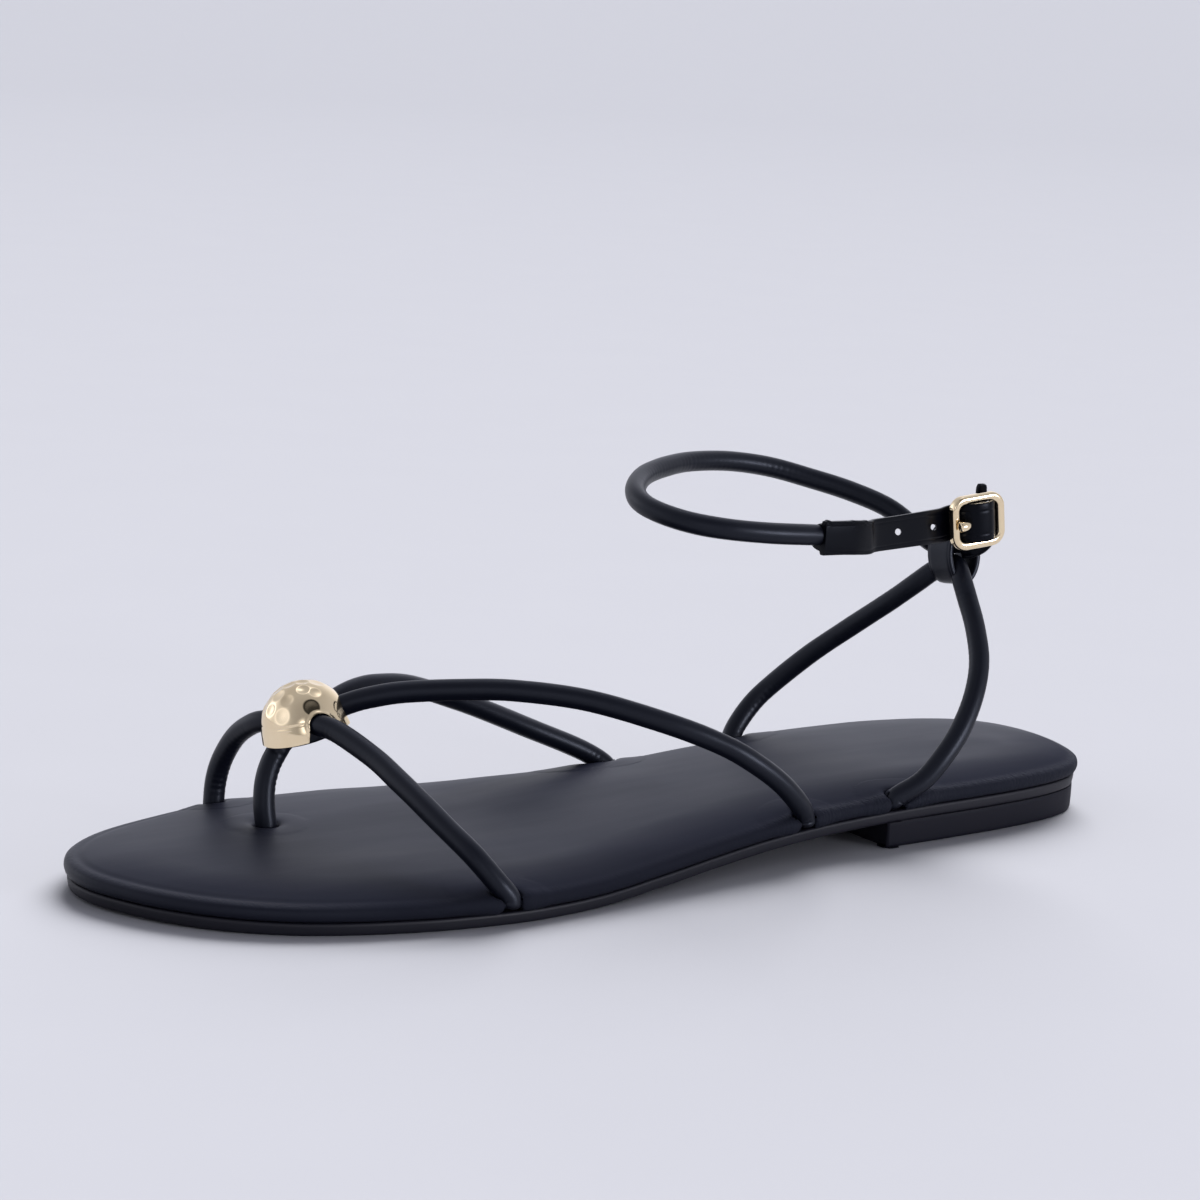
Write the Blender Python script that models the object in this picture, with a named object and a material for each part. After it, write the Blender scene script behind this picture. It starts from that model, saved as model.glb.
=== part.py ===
"""Strappy flat sandal for the left foot, standing empty on its sole.

The sizes and tables below are millimetres in the shoemaker's measure: x runs from the heel end
to the toe, y outwards to the wearer's left, z up from the floor. The model itself is in metres,
with its origin under the middle of the shoe.
"""
import math
from collections import namedtuple

import bmesh
import bpy
from mathutils import Matrix, Vector

MM = 0.001
CLEARANCE = 0.3
WELD_METRES = 0.00001
SHARP_ANGLE = math.radians(40)
ROUND_SEGMENTS = 12

# Sole sizes
LENGTH = 248.0
CENTRE_Y = 1.34
OUTSOLE_THICKNESS = 2.6
FOOTBED_THICKNESS = 3.9
HEEL_BREAST_X = 71.0
HEEL_INSET = 0.6
STATIONS = 30

# Half widths of the footbed at fractions of its length
OutlineRow = namedtuple("OutlineRow", "along lateral medial")
OUTLINE = [
    OutlineRow(0.00, 0.0, 0.0),
    OutlineRow(0.02, 16.0, 15.6),
    OutlineRow(0.05, 22.4, 22.3),
    OutlineRow(0.10, 26.2, 26.8),
    OutlineRow(0.16, 28.2, 28.6),
    OutlineRow(0.24, 29.6, 28.1),
    OutlineRow(0.32, 30.6, 26.5),
    OutlineRow(0.40, 32.6, 26.2),
    OutlineRow(0.48, 36.2, 29.4),
    OutlineRow(0.56, 40.4, 34.9),
    OutlineRow(0.64, 44.0, 40.6),
    OutlineRow(0.70, 45.3, 42.9),
    OutlineRow(0.76, 44.2, 43.1),
    OutlineRow(0.82, 41.0, 40.6),
    OutlineRow(0.88, 35.5, 35.8),
    OutlineRow(0.93, 27.4, 29.9),
    OutlineRow(0.97, 16.0, 21.8),
    OutlineRow(0.99, 6.4, 14.8),
    OutlineRow(1.00, -4.4, 4.4),
]

# Height of the outsole's underside above the floor: heel, arch, flat tread and toe spring
LiftRow = namedtuple("LiftRow", "along lift")
LIFT = [
    LiftRow(0.00, 5.9),
    LiftRow(0.22, 5.9),
    LiftRow(0.34, 5.1),
    LiftRow(0.44, 3.7),
    LiftRow(0.54, 1.7),
    LiftRow(0.62, 0.25),
    LiftRow(0.66, 0.0),
    LiftRow(0.86, 0.0),
    LiftRow(1.00, 0.6),
]

# Edge profiles: height above the layer's underside and inset from the outline
EdgeRow = namedtuple("EdgeRow", "height inset")
FOOTBED_EDGE = [
    EdgeRow(0.0, 0.6),
    EdgeRow(0.5, 0.1),
    EdgeRow(1.3, 0.0),
    EdgeRow(2.3, 0.2),
    EdgeRow(3.1, 0.9),
    EdgeRow(3.6, 1.9),
    EdgeRow(FOOTBED_THICKNESS, 3.8),
]
OUTSOLE_EDGE = [
    EdgeRow(0.0, 0.9),
    EdgeRow(0.5, 0.4),
    EdgeRow(2.2, 0.2),
    EdgeRow(OUTSOLE_THICKNESS, 0.5),
]

# Round straps: routes of their centre lines
STRAP_RADIUS = 2.25
STRAP_STEP = 4.0
STRAP_SIDES_RESOLUTION = 3
TUCK_LENGTH = 2.2
TUCK_GAP = 0.5
POST_HOLE_DEPTH = 3.2
NOTCH_SAMPLES = 5
NOTCH_RUNOUT = 2.0
SOCKET_SAMPLES = 5
RoutePoint = namedtuple("RoutePoint", "x y z")
KNOT = RoutePoint(191.8, -15.0, 29.3)
KNOT_RADIUS = 3.4
KNOT_SEGMENTS = 14
KNOT_RINGS = 9
FRONT_ROUTES = {
    "toe_strap": [
        KNOT,
        RoutePoint(196.0, -24.0, 27.8),
        RoutePoint(197.0, -29.0, 25.7),
        RoutePoint(197.6, -34.0, 22.1),
        RoutePoint(198.2, -38.2, 16.5),
        RoutePoint(198.7, -39.9, 11.2),
    ],
    "toe_post": [
        KNOT,
        RoutePoint(194.6, -17.0, 25.8),
        RoutePoint(196.3, -17.5, 23.0),
        RoutePoint(198.1, -17.2, 20.2),
        RoutePoint(199.6, -16.4, 16.6),
        RoutePoint(200.2, -15.5, 12.3),
        RoutePoint(199.9, -14.8, 7.5),
    ],
    "ball_strap": [
        KNOT,
        RoutePoint(192.9, -8.0, 30.4),
        RoutePoint(191.1, -2.0, 29.9),
        RoutePoint(188.7, 9.0, 26.8),
        RoutePoint(187.7, 17.0, 24.0),
        RoutePoint(186.6, 25.0, 20.9),
        RoutePoint(185.1, 32.0, 17.5),
        RoutePoint(182.8, 38.8, 13.5),
        RoutePoint(179.5, 42.6, 8.6),
    ],
    "inner_instep_strap": [
        KNOT,
        RoutePoint(183.1, -17.0, 33.0),
        RoutePoint(177.2, -18.6, 34.4),
        RoutePoint(171.1, -20.3, 34.4),
        RoutePoint(161.3, -23.0, 32.7),
        RoutePoint(146.7, -26.4, 27.4),
        RoutePoint(136.5, -28.0, 23.2),
        RoutePoint(126.6, -28.8, 18.9),
        RoutePoint(116.1, -28.2, 14.4),
        RoutePoint(110.6, -27.2, 11.6),
    ],
    "outer_instep_strap": [
        KNOT,
        RoutePoint(184.3, -10.0, 33.6),
        RoutePoint(179.3, -7.0, 35.4),
        RoutePoint(173.6, -4.0, 36.5),
        RoutePoint(163.3, 2.0, 37.4),
        RoutePoint(154.3, 8.0, 37.7),
        RoutePoint(141.9, 16.6, 36.4),
        RoutePoint(127.2, 25.0, 32.0),
        RoutePoint(116.4, 29.2, 27.6),
        RoutePoint(109.6, 31.2, 23.7),
        RoutePoint(102.6, 32.0, 18.7),
        RoutePoint(97.0, 31.7, 13.3),
    ],
}
TuckPlace = namedtuple("TuckPlace", "x y")
FRONT_TUCKS = {
    "toe_strap": TuckPlace(199.2, -39.7),
    "ball_strap": TuckPlace(176.9, 43.6),
    "inner_instep_strap": TuckPlace(107.6, -25.6),
    "outer_instep_strap": TuckPlace(94.6, 30.6),
}
HEEL_ROUTE = [
    RoutePoint(71.6, -26.9, 14.4),
    RoutePoint(66.8, -27.5, 19.6),
    RoutePoint(62.6, -25.8, 24.3),
    RoutePoint(56.4, -20.0, 32.3),
    RoutePoint(50.8, -13.0, 39.6),
    RoutePoint(46.1, -5.0, 46.9),
    RoutePoint(43.2, -0.2, 51.6),
    RoutePoint(40.8, 3.4, 55.3),
    RoutePoint(39.2, 5.8, 57.1),
    RoutePoint(38.8, 7.6, 57.5),
    RoutePoint(39.2, 9.6, 57.0),
    RoutePoint(39.8, 11.8, 55.0),
    RoutePoint(40.0, 14.6, 50.8),
    RoutePoint(41.3, 19.5, 45.2),
    RoutePoint(43.7, 24.5, 38.7),
    RoutePoint(47.5, 28.0, 32.3),
    RoutePoint(52.5, 30.2, 25.5),
    RoutePoint(57.7, 30.8, 19.6),
    RoutePoint(62.6, 30.2, 14.6),
]
HEEL_TUCKS = [TuckPlace(74.0, -25.4), TuckPlace(68.3, 28.4)]
ANKLE_ROUTE = [
    RoutePoint(37.4, 12.8, 63.4),
    RoutePoint(37.7, 10.5, 62.7),
    RoutePoint(38.3, 7.4, 62.4),
    RoutePoint(40.8, 3.6, 63.7),
    RoutePoint(44.4, 0.0, 66.5),
    RoutePoint(48.6, -5.0, 69.2),
    RoutePoint(54.2, -12.0, 71.7),
    RoutePoint(61.2, -18.0, 74.1),
    RoutePoint(70.1, -21.8, 76.4),
    RoutePoint(80.8, -22.8, 77.9),
    RoutePoint(92.0, -21.4, 78.5),
    RoutePoint(101.0, -18.0, 78.4),
    RoutePoint(110.0, -13.0, 77.8),
    RoutePoint(116.4, -7.2, 76.8),
    RoutePoint(120.6, -1.2, 75.7),
    RoutePoint(122.2, 4.8, 74.5),
    RoutePoint(121.0, 10.8, 73.4),
    RoutePoint(117.2, 16.0, 72.3),
    RoutePoint(111.0, 20.0, 71.4),
    RoutePoint(102.0, 22.2, 70.5),
    RoutePoint(91.7, 22.9, 69.7),
    RoutePoint(80.8, 22.6, 68.8),
]

# Bead: a tilted metal dome on a short upright band
BEAD_RADIUS = 9.2
BEAD_WALL = 0.8
BEAD_BAND = 3.2
BEAD_STEPS_AROUND = 32
BEAD_STEPS_UP = 7
BEAD_TILT_TO_TOE = math.radians(16)
BEAD_TILT_TO_INSIDE = math.radians(8)
BEAD_EXITS = ("toe_strap", "ball_strap", "inner_instep_strap", "outer_instep_strap")
ARCH_DROP = 9.0
EXIT_SAMPLES = 7

# Keeper ring: an oval leather band round the heel strap and the ankle strap
RING_CENTRE = RoutePoint(38.7, 7.4, 59.9)
RING_AXIS = Vector((-0.08, 0.98, 0.12))
RING_HALF_WIDTH = 5.0
RING_HALF_HEIGHT = 6.2
RING_WALL = 1.15
RING_DEPTH = 4.4
RING_STEPS = 24
RING_REACH = 14.0

# Buckle frame: its own axes are rearward, upward and outward
BUCKLE_CENTRE = RoutePoint(43.2, 20.0, 69.8)
BUCKLE_REARWARD = Vector((-0.985, 0.10, 0.12))
BUCKLE_LENGTH = 10.7
BUCKLE_HEIGHT = 9.5
BUCKLE_CORNER = 1.9
BUCKLE_CORNER_STEPS = 4
BUCKLE_WIRE_RADIUS = 0.9
MIDDLE_BAR_RADIUS = 0.6
MIDDLE_BAR_OUTWARD = -0.6

# Buckle prong: places in the buckle's own axes
BuckleRow = namedtuple("BuckleRow", "rearward upward outward")
PRONG_RADIUS = 0.55
PRONG_EYE_RADIUS = 1.5
PRONG_EYE_LENGTH = 1.6
PRONG_STEP = 0.8
PRONG_SIDES_RESOLUTION = 2
PRONG_ROUTE = [
    BuckleRow(-0.5, -0.2, -0.2),
    BuckleRow(-1.6, -0.2, 0.2),
    BuckleRow(-3.2, -0.2, 1.55),
    BuckleRow(-4.6, -0.2, 1.9),
    BuckleRow(-6.3, -0.2, 1.75),
]

# Flat strap ends: the sleeve and billet in the shoemaker's measure, then the buckle's axes
STRIP_WIDTH = 7.0
STRIP_WIDTH_IN_BUCKLE = 6.3
STRIP_THICKNESS = 1.4
StripRow = namedtuple("StripRow", "x y z width thickness")
BILLET_SLEEVE = [
    StripRow(86.4, 22.8, 69.3, 7.2, 6.2),
    StripRow(80.6, 22.6, 68.8, 7.2, 6.2),
    StripRow(76.6, 22.2, 68.4, 7.2, 4.0),
    StripRow(73.6, 21.7, 68.4, 7.1, 1.8),
    StripRow(66.0, 20.6, 68.5, STRIP_WIDTH, STRIP_THICKNESS),
    StripRow(58.0, 19.4, 68.7, STRIP_WIDTH, STRIP_THICKNESS),
]
BILLET_IN_BUCKLE = [
    BuckleRow(-8.5, -0.1, -2.0),
    BuckleRow(-4.7, 0.0, -2.2),
    BuckleRow(-3.0, 0.0, -0.3),
    BuckleRow(-1.6, 0.0, 1.6),
    BuckleRow(0.0, 0.0, 2.15),
    BuckleRow(1.6, 0.0, 1.6),
    BuckleRow(3.0, 0.0, -0.3),
    BuckleRow(4.7, 0.0, -2.2),
    BuckleRow(8.2, 0.0, -2.7),
]
HOLE_RADIUS = 0.75
HOLE_PLACES = [RoutePoint(66.2, 20.6, 68.5), RoutePoint(55.4, 19.1, 68.8)]
CHAPE_WIDTH = 6.6
CHAPE_SOCKET_THICKNESS = 6.0
ChapeRow = namedtuple("ChapeRow", "rearward upward outward thickness")
CHAPE_ROUTE = [
    ChapeRow(3.7, -7.3, -9.6, CHAPE_SOCKET_THICKNESS),
    ChapeRow(4.3, -6.8, -7.4, CHAPE_SOCKET_THICKNESS),
    ChapeRow(5.0, -5.6, -6.2, 2.6),
    ChapeRow(5.5, -3.6, -5.3, STRIP_THICKNESS),
    ChapeRow(5.0, -1.8, -4.6, STRIP_THICKNESS),
    ChapeRow(3.8, -0.5, -3.9, STRIP_THICKNESS),
    ChapeRow(2.5, 0.0, -2.9, STRIP_THICKNESS),
    ChapeRow(0.8, 0.0, -1.2, STRIP_THICKNESS),
]
CHAPE_EYE_RADIUS = 1.5
CHAPE_EYE_SEGMENTS = 16
CHAPE_SLOT = 2.3
CHAPE_SLOT_DEPTH = 4.0
BORE_LENGTH = 13.0
CHAPE_TAIL = BuckleRow(3.0, 4.7, -3.6)
CHAPE_TAIL_SIZE = Vector((2.6, 5.2, 1.2))

# Colours and finish of each piece: red, green, blue, roughness, metallic
Finish = namedtuple("Finish", "red green blue roughness metallic")
BLACK_LEATHER = Finish(0.020, 0.020, 0.024, 0.48, 0.0)
BLACK_FOOTBED = Finish(0.026, 0.026, 0.032, 0.52, 0.0)
BLACK_SOLE = Finish(0.016, 0.016, 0.019, 0.62, 0.0)
PALE_GOLD = Finish(0.83, 0.70, 0.46, 0.18, 1.0)


def clear_scene():
    """Remove every object that the scene starts with."""
    for old in list(bpy.data.objects):
        bpy.data.objects.remove(old, do_unlink=True)


def new_collection(name):
    """Make a collection in the scene."""
    made = bpy.data.collections.new(name)
    bpy.context.scene.collection.children.link(made)
    return made


def to_model(point):
    """Turn a place in the shoemaker's measure into the model's metres."""
    return Vector((point[0] - LENGTH / 2, point[1] - CENTRE_Y, point[2])) * MM


def buckle_axes():
    """Give the buckle's rearward, upward and outward directions."""
    rearward = BUCKLE_REARWARD.normalized()
    level = Vector((0, 0, 1))
    upward = (level - rearward * level.dot(rearward)).normalized()
    return rearward, upward, rearward.cross(upward)


def in_buckle(row):
    """Turn a place in the buckle's own axes into the shoemaker's measure."""
    rearward, upward, outward = buckle_axes()
    offset = rearward * row[0] + upward * row[1] + outward * row[2]
    return Vector(BUCKLE_CENTRE) + offset


def slopes(keys, values):
    """Give slopes for a smooth curve through a table that never overshoots it."""
    steps = [(values[i + 1] - values[i]) / (keys[i + 1] - keys[i]) for i in range(len(keys) - 1)]
    inner = []
    for before, after in zip(steps, steps[1:]):
        same_way = before * after > 0
        inner.append(2 * before * after / (before + after) if same_way else 0.0)
    return [steps[0]] + inner + [steps[-1]]


def read_table(keys, values, where):
    """Read a smooth value between the rows of a table."""
    tangents = slopes(keys, values)
    row = max(i for i in range(len(keys) - 1) if i == 0 or keys[i] <= where)
    span = keys[row + 1] - keys[row]
    part = (where - keys[row]) / span
    square, cube = part ** 2, part ** 3
    return ((2 * cube - 3 * square + 1) * values[row]
            + (cube - 2 * square + part) * span * tangents[row]
            + (3 * square - 2 * cube) * values[row + 1]
            + (cube - square) * span * tangents[row + 1])


def round_angle(along):
    """Turn a fraction of the length into an angle, which keeps the two ends of the sole round."""
    return math.acos(1 - 2 * along)


def half_width(side, along):
    """Half width of the footbed on one side at a fraction of its length."""
    keys = [round_angle(row.along) for row in OUTLINE]
    return read_table(keys, [getattr(row, side) for row in OUTLINE], round_angle(along))


def lift(x):
    """Height of the outsole's underside above the floor."""
    along = min(max(x / LENGTH, 0.0), 1.0)
    return read_table([row.along for row in LIFT], [row.lift for row in LIFT], along)


def outsole_top(x):
    """Height of the outsole's upper face."""
    return lift(x) + OUTSOLE_THICKNESS


def sole_outline(end_x=LENGTH):
    """Outline points: up the outer side from heel to toe, then back along the inner side."""
    last = round_angle(end_x / LENGTH)
    places = [(1 - math.cos(last * i / STATIONS)) / 2 for i in range(STATIONS + 1)]
    outer = [Vector((along * LENGTH, half_width("lateral", along))) for along in places]
    inner = [Vector((along * LENGTH, -half_width("medial", along))) for along in places]
    closed_toe = end_x == LENGTH
    back = inner[-2:0:-1] if closed_toe else inner[:0:-1]
    return outer + back


def inset_outline(outline, inset):
    """Move an outline inwards along its own normals."""
    count = len(outline)
    moved = []
    for i, point in enumerate(outline):
        run = (outline[(i + 1) % count] - outline[i - 1]).normalized()
        moved.append(point + Vector((run.y, -run.x)) * inset)
    return moved


def new_piece(name, bm, collection):
    """Make an object of a finished mesh, with its faces pointing out."""
    bmesh.ops.recalc_face_normals(bm, faces=bm.faces)
    mesh = bpy.data.meshes.new(name)
    bm.to_mesh(mesh)
    bm.free()
    piece = bpy.data.objects.new(name, mesh)
    collection.objects.link(piece)
    return piece


def stack_loops(name, loops, collection):
    """Join a stack of closed loops with side faces, and close both ends with strips across."""
    bm = bmesh.new()
    rings = [[bm.verts.new(to_model(point)) for point in loop] for loop in loops]
    count = len(rings[0])
    for low, high in zip(rings, rings[1:]):
        for i in range(count):
            j = (i + 1) % count
            bm.faces.new((low[i], low[j], high[j], high[i]))
    for ring in (rings[0], rings[-1]):
        for i in range(count // 2):
            corners = [ring[i], ring[i + 1], ring[count - i - 1], ring[-i]]
            bm.faces.new(list(dict.fromkeys(corners)))
    return new_piece(name, bm, collection)


def sole_layer(name, edge, underside, collection):
    """Build one bent layer of the sole from its edge profile."""
    outline = sole_outline()
    loops = []
    for row in edge:
        loop = inset_outline(outline, row.inset)
        loops.append([(p.x, p.y, underside(p.x) + row.height) for p in loop])
    return stack_loops(name, loops, collection)


def heel_block(collection):
    """Build the heel block between the floor and the outsole, with its upright breast."""
    outline = inset_outline(sole_outline(HEEL_BREAST_X), HEEL_INSET)
    floor = [(p.x, p.y, 0.0) for p in outline]
    seat = [(p.x, p.y, lift(p.x) - CLEARANCE) for p in outline]
    return stack_loops("heel_block", [floor, seat], collection)


def smooth_route(points, step=STRAP_STEP):
    """Sample a smooth curve through the points of a route."""
    route = [Vector(p) for p in points]
    ends = [2 * route[0] - route[1]] + route + [2 * route[-1] - route[-2]]
    samples = []
    for before, start, stop, after in zip(ends, ends[1:], ends[2:], ends[3:]):
        parts = max(1, round((stop - start).length / step))
        for i in range(parts):
            t = i / parts
            samples.append(0.5 * (2 * start + (stop - before) * t
                                  + (2 * before - 5 * start + 4 * stop - after) * t ** 2
                                  + (3 * start - before - 3 * stop + after) * t ** 3))
    return samples + [route[-1]]


def tucked(place):
    """End points of a strap that is tucked upright between footbed and outsole."""
    seat = outsole_top(place.x) + TUCK_GAP
    return [RoutePoint(place.x, place.y, seat + TUCK_LENGTH), RoutePoint(place.x, place.y, seat)]


def tube(name, route, radius, collection, resolution=STRAP_SIDES_RESOLUTION, cyclic=False):
    """Make a closed mesh tube along a route, from a curve with a round bevel."""
    curve = bpy.data.curves.new(name, "CURVE")
    curve.dimensions = "3D"
    curve.bevel_depth = radius * MM
    curve.bevel_resolution = resolution
    curve.use_fill_caps = not cyclic
    spline = curve.splines.new("POLY")
    spline.points.add(len(route) - 1)
    spline.use_cyclic_u = cyclic
    for point, place in zip(spline.points, route):
        point.co = (*to_model(place), 1.0)
    drawn = bpy.data.objects.new(name + "_path", curve)
    collection.objects.link(drawn)
    evaluated = drawn.evaluated_get(bpy.context.evaluated_depsgraph_get())
    mesh = bpy.data.meshes.new_from_object(evaluated)
    bpy.data.objects.remove(drawn)
    bm = bmesh.new()
    bm.from_mesh(mesh)
    bpy.data.meshes.remove(mesh)
    bmesh.ops.remove_doubles(bm, verts=bm.verts, dist=WELD_METRES)
    return new_piece(name, bm, collection)


def as_helper(piece):
    """Mark a cutter or an operand, which isn't a piece of the shoe."""
    piece.hide_render = True
    piece.display_type = "WIRE"
    return piece


def boolean(piece, operation, other):
    """Add or cut another closed mesh."""
    step = piece.modifiers.new(operation.lower() + "_" + other.name, "BOOLEAN")
    step.operation = operation
    step.object = as_helper(other)


def cylinder_between(name, start, end, radius, collection, segments=ROUND_SEGMENTS):
    """Make a closed cylinder between two places."""
    start, end = to_model(start), to_model(end)
    bm = bmesh.new()
    turn = Vector((0, 0, 1)).rotation_difference(end - start).to_matrix().to_4x4()
    bmesh.ops.create_cone(bm, cap_ends=True, segments=segments, radius1=radius * MM,
                          radius2=radius * MM, depth=(end - start).length,
                          matrix=Matrix.Translation((start + end) / 2) @ turn)
    return new_piece(name, bm, collection)


def box_on_axes(name, centre, size, axes, collection):
    """Make a box with its sides along three given directions."""
    turn = Matrix([axis.normalized() for axis in axes]).transposed().to_4x4()
    bm = bmesh.new()
    stretch = Matrix.Diagonal((*(size * MM), 1.0))
    bmesh.ops.create_cube(bm, size=1.0, matrix=Matrix.Translation(to_model(centre)) @ turn @ stretch)
    return new_piece(name, bm, collection)


def front_strap_routes():
    """Sample each front strap, with its tucked end or its place in the post hole."""
    routes = {}
    for name, points in FRONT_ROUTES.items():
        if name in FRONT_TUCKS:
            ending = tucked(FRONT_TUCKS[name])
        else:
            foot = points[-1]
            ending = [RoutePoint(foot.x, foot.y, foot.z - POST_HOLE_DEPTH)]
        routes[name] = smooth_route(points + ending)
    return routes


def front_straps(collection, helpers):
    """Join the five front straps at the knot inside the bead."""
    bm = bmesh.new()
    bmesh.ops.create_uvsphere(bm, u_segments=KNOT_SEGMENTS, v_segments=KNOT_RINGS,
                              radius=KNOT_RADIUS * MM,
                              matrix=Matrix.Translation(to_model(KNOT)))
    straps = new_piece("front_straps", bm, collection)
    for name, route in front_strap_routes().items():
        boolean(straps, "UNION", tube(name, route, STRAP_RADIUS, helpers))
    return straps


def heel_strap_route():
    """Sample the heel strap from its inner tuck to its outer one."""
    inner, outer = HEEL_TUCKS
    return smooth_route(tucked(inner)[::-1] + HEEL_ROUTE + tucked(outer))


def bead_dome(collection, helpers):
    """Turn the bead's wall, tilt it over the knot and cut an arch for each strap that leaves it."""
    quarter = [math.pi / 2 * i / BEAD_STEPS_UP for i in range(BEAD_STEPS_UP + 1)]
    outer = [(BEAD_RADIUS * math.sin(a), BEAD_RADIUS * math.cos(a)) for a in quarter]
    thin = BEAD_RADIUS - BEAD_WALL
    inner = [(thin * math.sin(a), thin * math.cos(a)) for a in quarter]
    profile = outer + [(BEAD_RADIUS, -BEAD_BAND), (thin, -BEAD_BAND)] + inner[::-1]
    bm = bmesh.new()
    corners = [bm.verts.new(Vector((x, 0, z)) * MM) for x, z in profile]
    edges = [bm.edges.new(pair) for pair in zip(corners, corners[1:])]
    bmesh.ops.spin(bm, geom=corners + edges, cent=(0, 0, 0), axis=(0, 0, 1),
                   angle=math.tau, steps=BEAD_STEPS_AROUND, use_duplicate=False)
    bmesh.ops.remove_doubles(bm, verts=bm.verts, dist=WELD_METRES)
    tilt = Matrix.Rotation(BEAD_TILT_TO_TOE, 4, "Y") @ Matrix.Rotation(BEAD_TILT_TO_INSIDE, 4, "X")
    bmesh.ops.transform(bm, matrix=Matrix.Translation(to_model(KNOT)) @ tilt, verts=bm.verts)
    bead = new_piece("bead_dome", bm, collection)
    routes = front_strap_routes()
    room = STRAP_RADIUS + CLEARANCE
    for name, route in routes.items():
        boolean(bead, "DIFFERENCE", tube(name + "_exit", route[:EXIT_SAMPLES], room, helpers))
    for name in BEAD_EXITS:
        leaving = Vector(FRONT_ROUTES[name][1]) - Vector(KNOT)
        along = Vector((leaving.x, leaving.y, 0)).normalized()
        axes = (along, Vector((-along.y, along.x, 0)), Vector((0, 0, 1)))
        middle = Vector(KNOT) + along * BEAD_RADIUS
        middle.z = FRONT_ROUTES[name][1].z - ARCH_DROP / 2
        arch = Vector((BEAD_RADIUS, 2 * room, ARCH_DROP))
        boolean(bead, "DIFFERENCE", box_on_axes(name + "_arch", middle, arch, axes, helpers))
    return bead


def keeper_ring(collection, helpers):
    """Loft the oval leather band around its axis, pressed hollow where the two straps lie in it."""
    axis = RING_AXIS.normalized()
    across = axis.cross(Vector((0, 0, 1))).normalized()
    upright = across.cross(axis)
    bm = bmesh.new()
    corners = []
    for grown, shift in ((0, -0.5), (0, 0.5), (RING_WALL, 0.5), (RING_WALL, -0.5)):
        ring = []
        for i in range(RING_STEPS):
            turn = math.tau * i / RING_STEPS
            wide = (RING_HALF_WIDTH + grown) * math.cos(turn)
            tall = (RING_HALF_HEIGHT + grown) * math.sin(turn)
            place = Vector(RING_CENTRE) + across * wide + upright * tall + axis * RING_DEPTH * shift
            ring.append(bm.verts.new(to_model(place)))
        corners.append(ring)
    for ring, following in zip(corners, corners[1:] + corners[:1]):
        for i in range(RING_STEPS):
            j = (i + 1) % RING_STEPS
            bm.faces.new((ring[i], ring[j], following[j], following[i]))
    band = new_piece("keeper_ring", bm, collection)
    room = STRAP_RADIUS + CLEARANCE
    for name, route in (("ankle_room", ankle_strap_route()), ("heel_room", heel_strap_route())):
        near = [place for place in route if (place - Vector(RING_CENTRE)).length < RING_REACH]
        boolean(band, "DIFFERENCE", tube(name, near, room, helpers))
    return band


def strip(name, places, sizes, upward, collection):
    """Sweep a flat strap along its places, with its width along one direction."""
    loops = []
    for i, place in enumerate(places):
        run = places[min(i + 1, len(places) - 1)] - places[max(i - 1, 0)]
        face = run.cross(upward).normalized()
        wide = upward * sizes[i][0] / 2
        thick = face * sizes[i][1] / 2
        loops.append([place + wide + thick, place + wide - thick,
                      place - wide - thick, place - wide + thick])
    return stack_loops(name, loops, collection)


def ankle_billet(collection, helpers):
    """Build the flat strap end with its sleeve, holes and prong hole."""
    upward = buckle_axes()[1]
    places = [Vector(row[:3]) for row in BILLET_SLEEVE] + [in_buckle(row) for row in BILLET_IN_BUCKLE]
    sizes = [(row.width, row.thickness) for row in BILLET_SLEEVE]
    sizes += [(STRIP_WIDTH_IN_BUCKLE, STRIP_THICKNESS)] * len(BILLET_IN_BUCKLE)
    billet = strip("ankle_billet", places, sizes, upward, collection)
    strap_end = deeper(ankle_strap_route()[-SOCKET_SAMPLES:])
    socket = tube("sleeve_socket", strap_end, STRAP_RADIUS + CLEARANCE, helpers)
    boolean(billet, "DIFFERENCE", socket)
    outward = buckle_axes()[2] * STRIP_WIDTH
    for i, place in enumerate(HOLE_PLACES):
        start, end = Vector(place) - outward, Vector(place) + outward
        boolean(billet, "DIFFERENCE", cylinder_between(f"hole_{i}", start, end, HOLE_RADIUS, helpers))
    room = tube("prong_hole", prong_route(), PRONG_RADIUS + CLEARANCE, helpers)
    boolean(billet, "DIFFERENCE", room)
    return billet


def ankle_strap_route():
    """Sample the ankle strap from the ring round the ankle to the billet's sleeve."""
    return smooth_route(ANKLE_ROUTE)


def deeper(route):
    """A route that runs past its end by the clearance, for the socket that holds a strap's end."""
    run = (route[-1] - route[-2]).normalized()
    return route + [route[-1] + run * CLEARANCE]


def middle_bar_ends(length):
    """End places of a length along the buckle's middle bar."""
    halves = (-length / 2, length / 2)
    return [in_buckle((0, upward, MIDDLE_BAR_OUTWARD)) for upward in halves]


def buckle_frame(collection, helpers):
    """Bend the frame's wire to a rounded rectangle and add the middle bar."""
    route = []
    corner_x = BUCKLE_LENGTH / 2 - BUCKLE_CORNER
    corner_y = BUCKLE_HEIGHT / 2 - BUCKLE_CORNER
    for quarter, (sx, sy) in enumerate(((1, 1), (-1, 1), (-1, -1), (1, -1))):
        for i in range(BUCKLE_CORNER_STEPS + 1):
            turn = math.pi / 2 * (quarter + i / BUCKLE_CORNER_STEPS)
            row = BuckleRow(sx * corner_x + BUCKLE_CORNER * math.cos(turn),
                            sy * corner_y + BUCKLE_CORNER * math.sin(turn), 0.0)
            route.append(in_buckle(row))
    frame = tube("buckle_frame", route, BUCKLE_WIRE_RADIUS, collection, cyclic=True)
    low, high = middle_bar_ends(BUCKLE_HEIGHT)
    boolean(frame, "UNION", cylinder_between("middle_bar", low, high, MIDDLE_BAR_RADIUS, helpers))
    return frame


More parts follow.
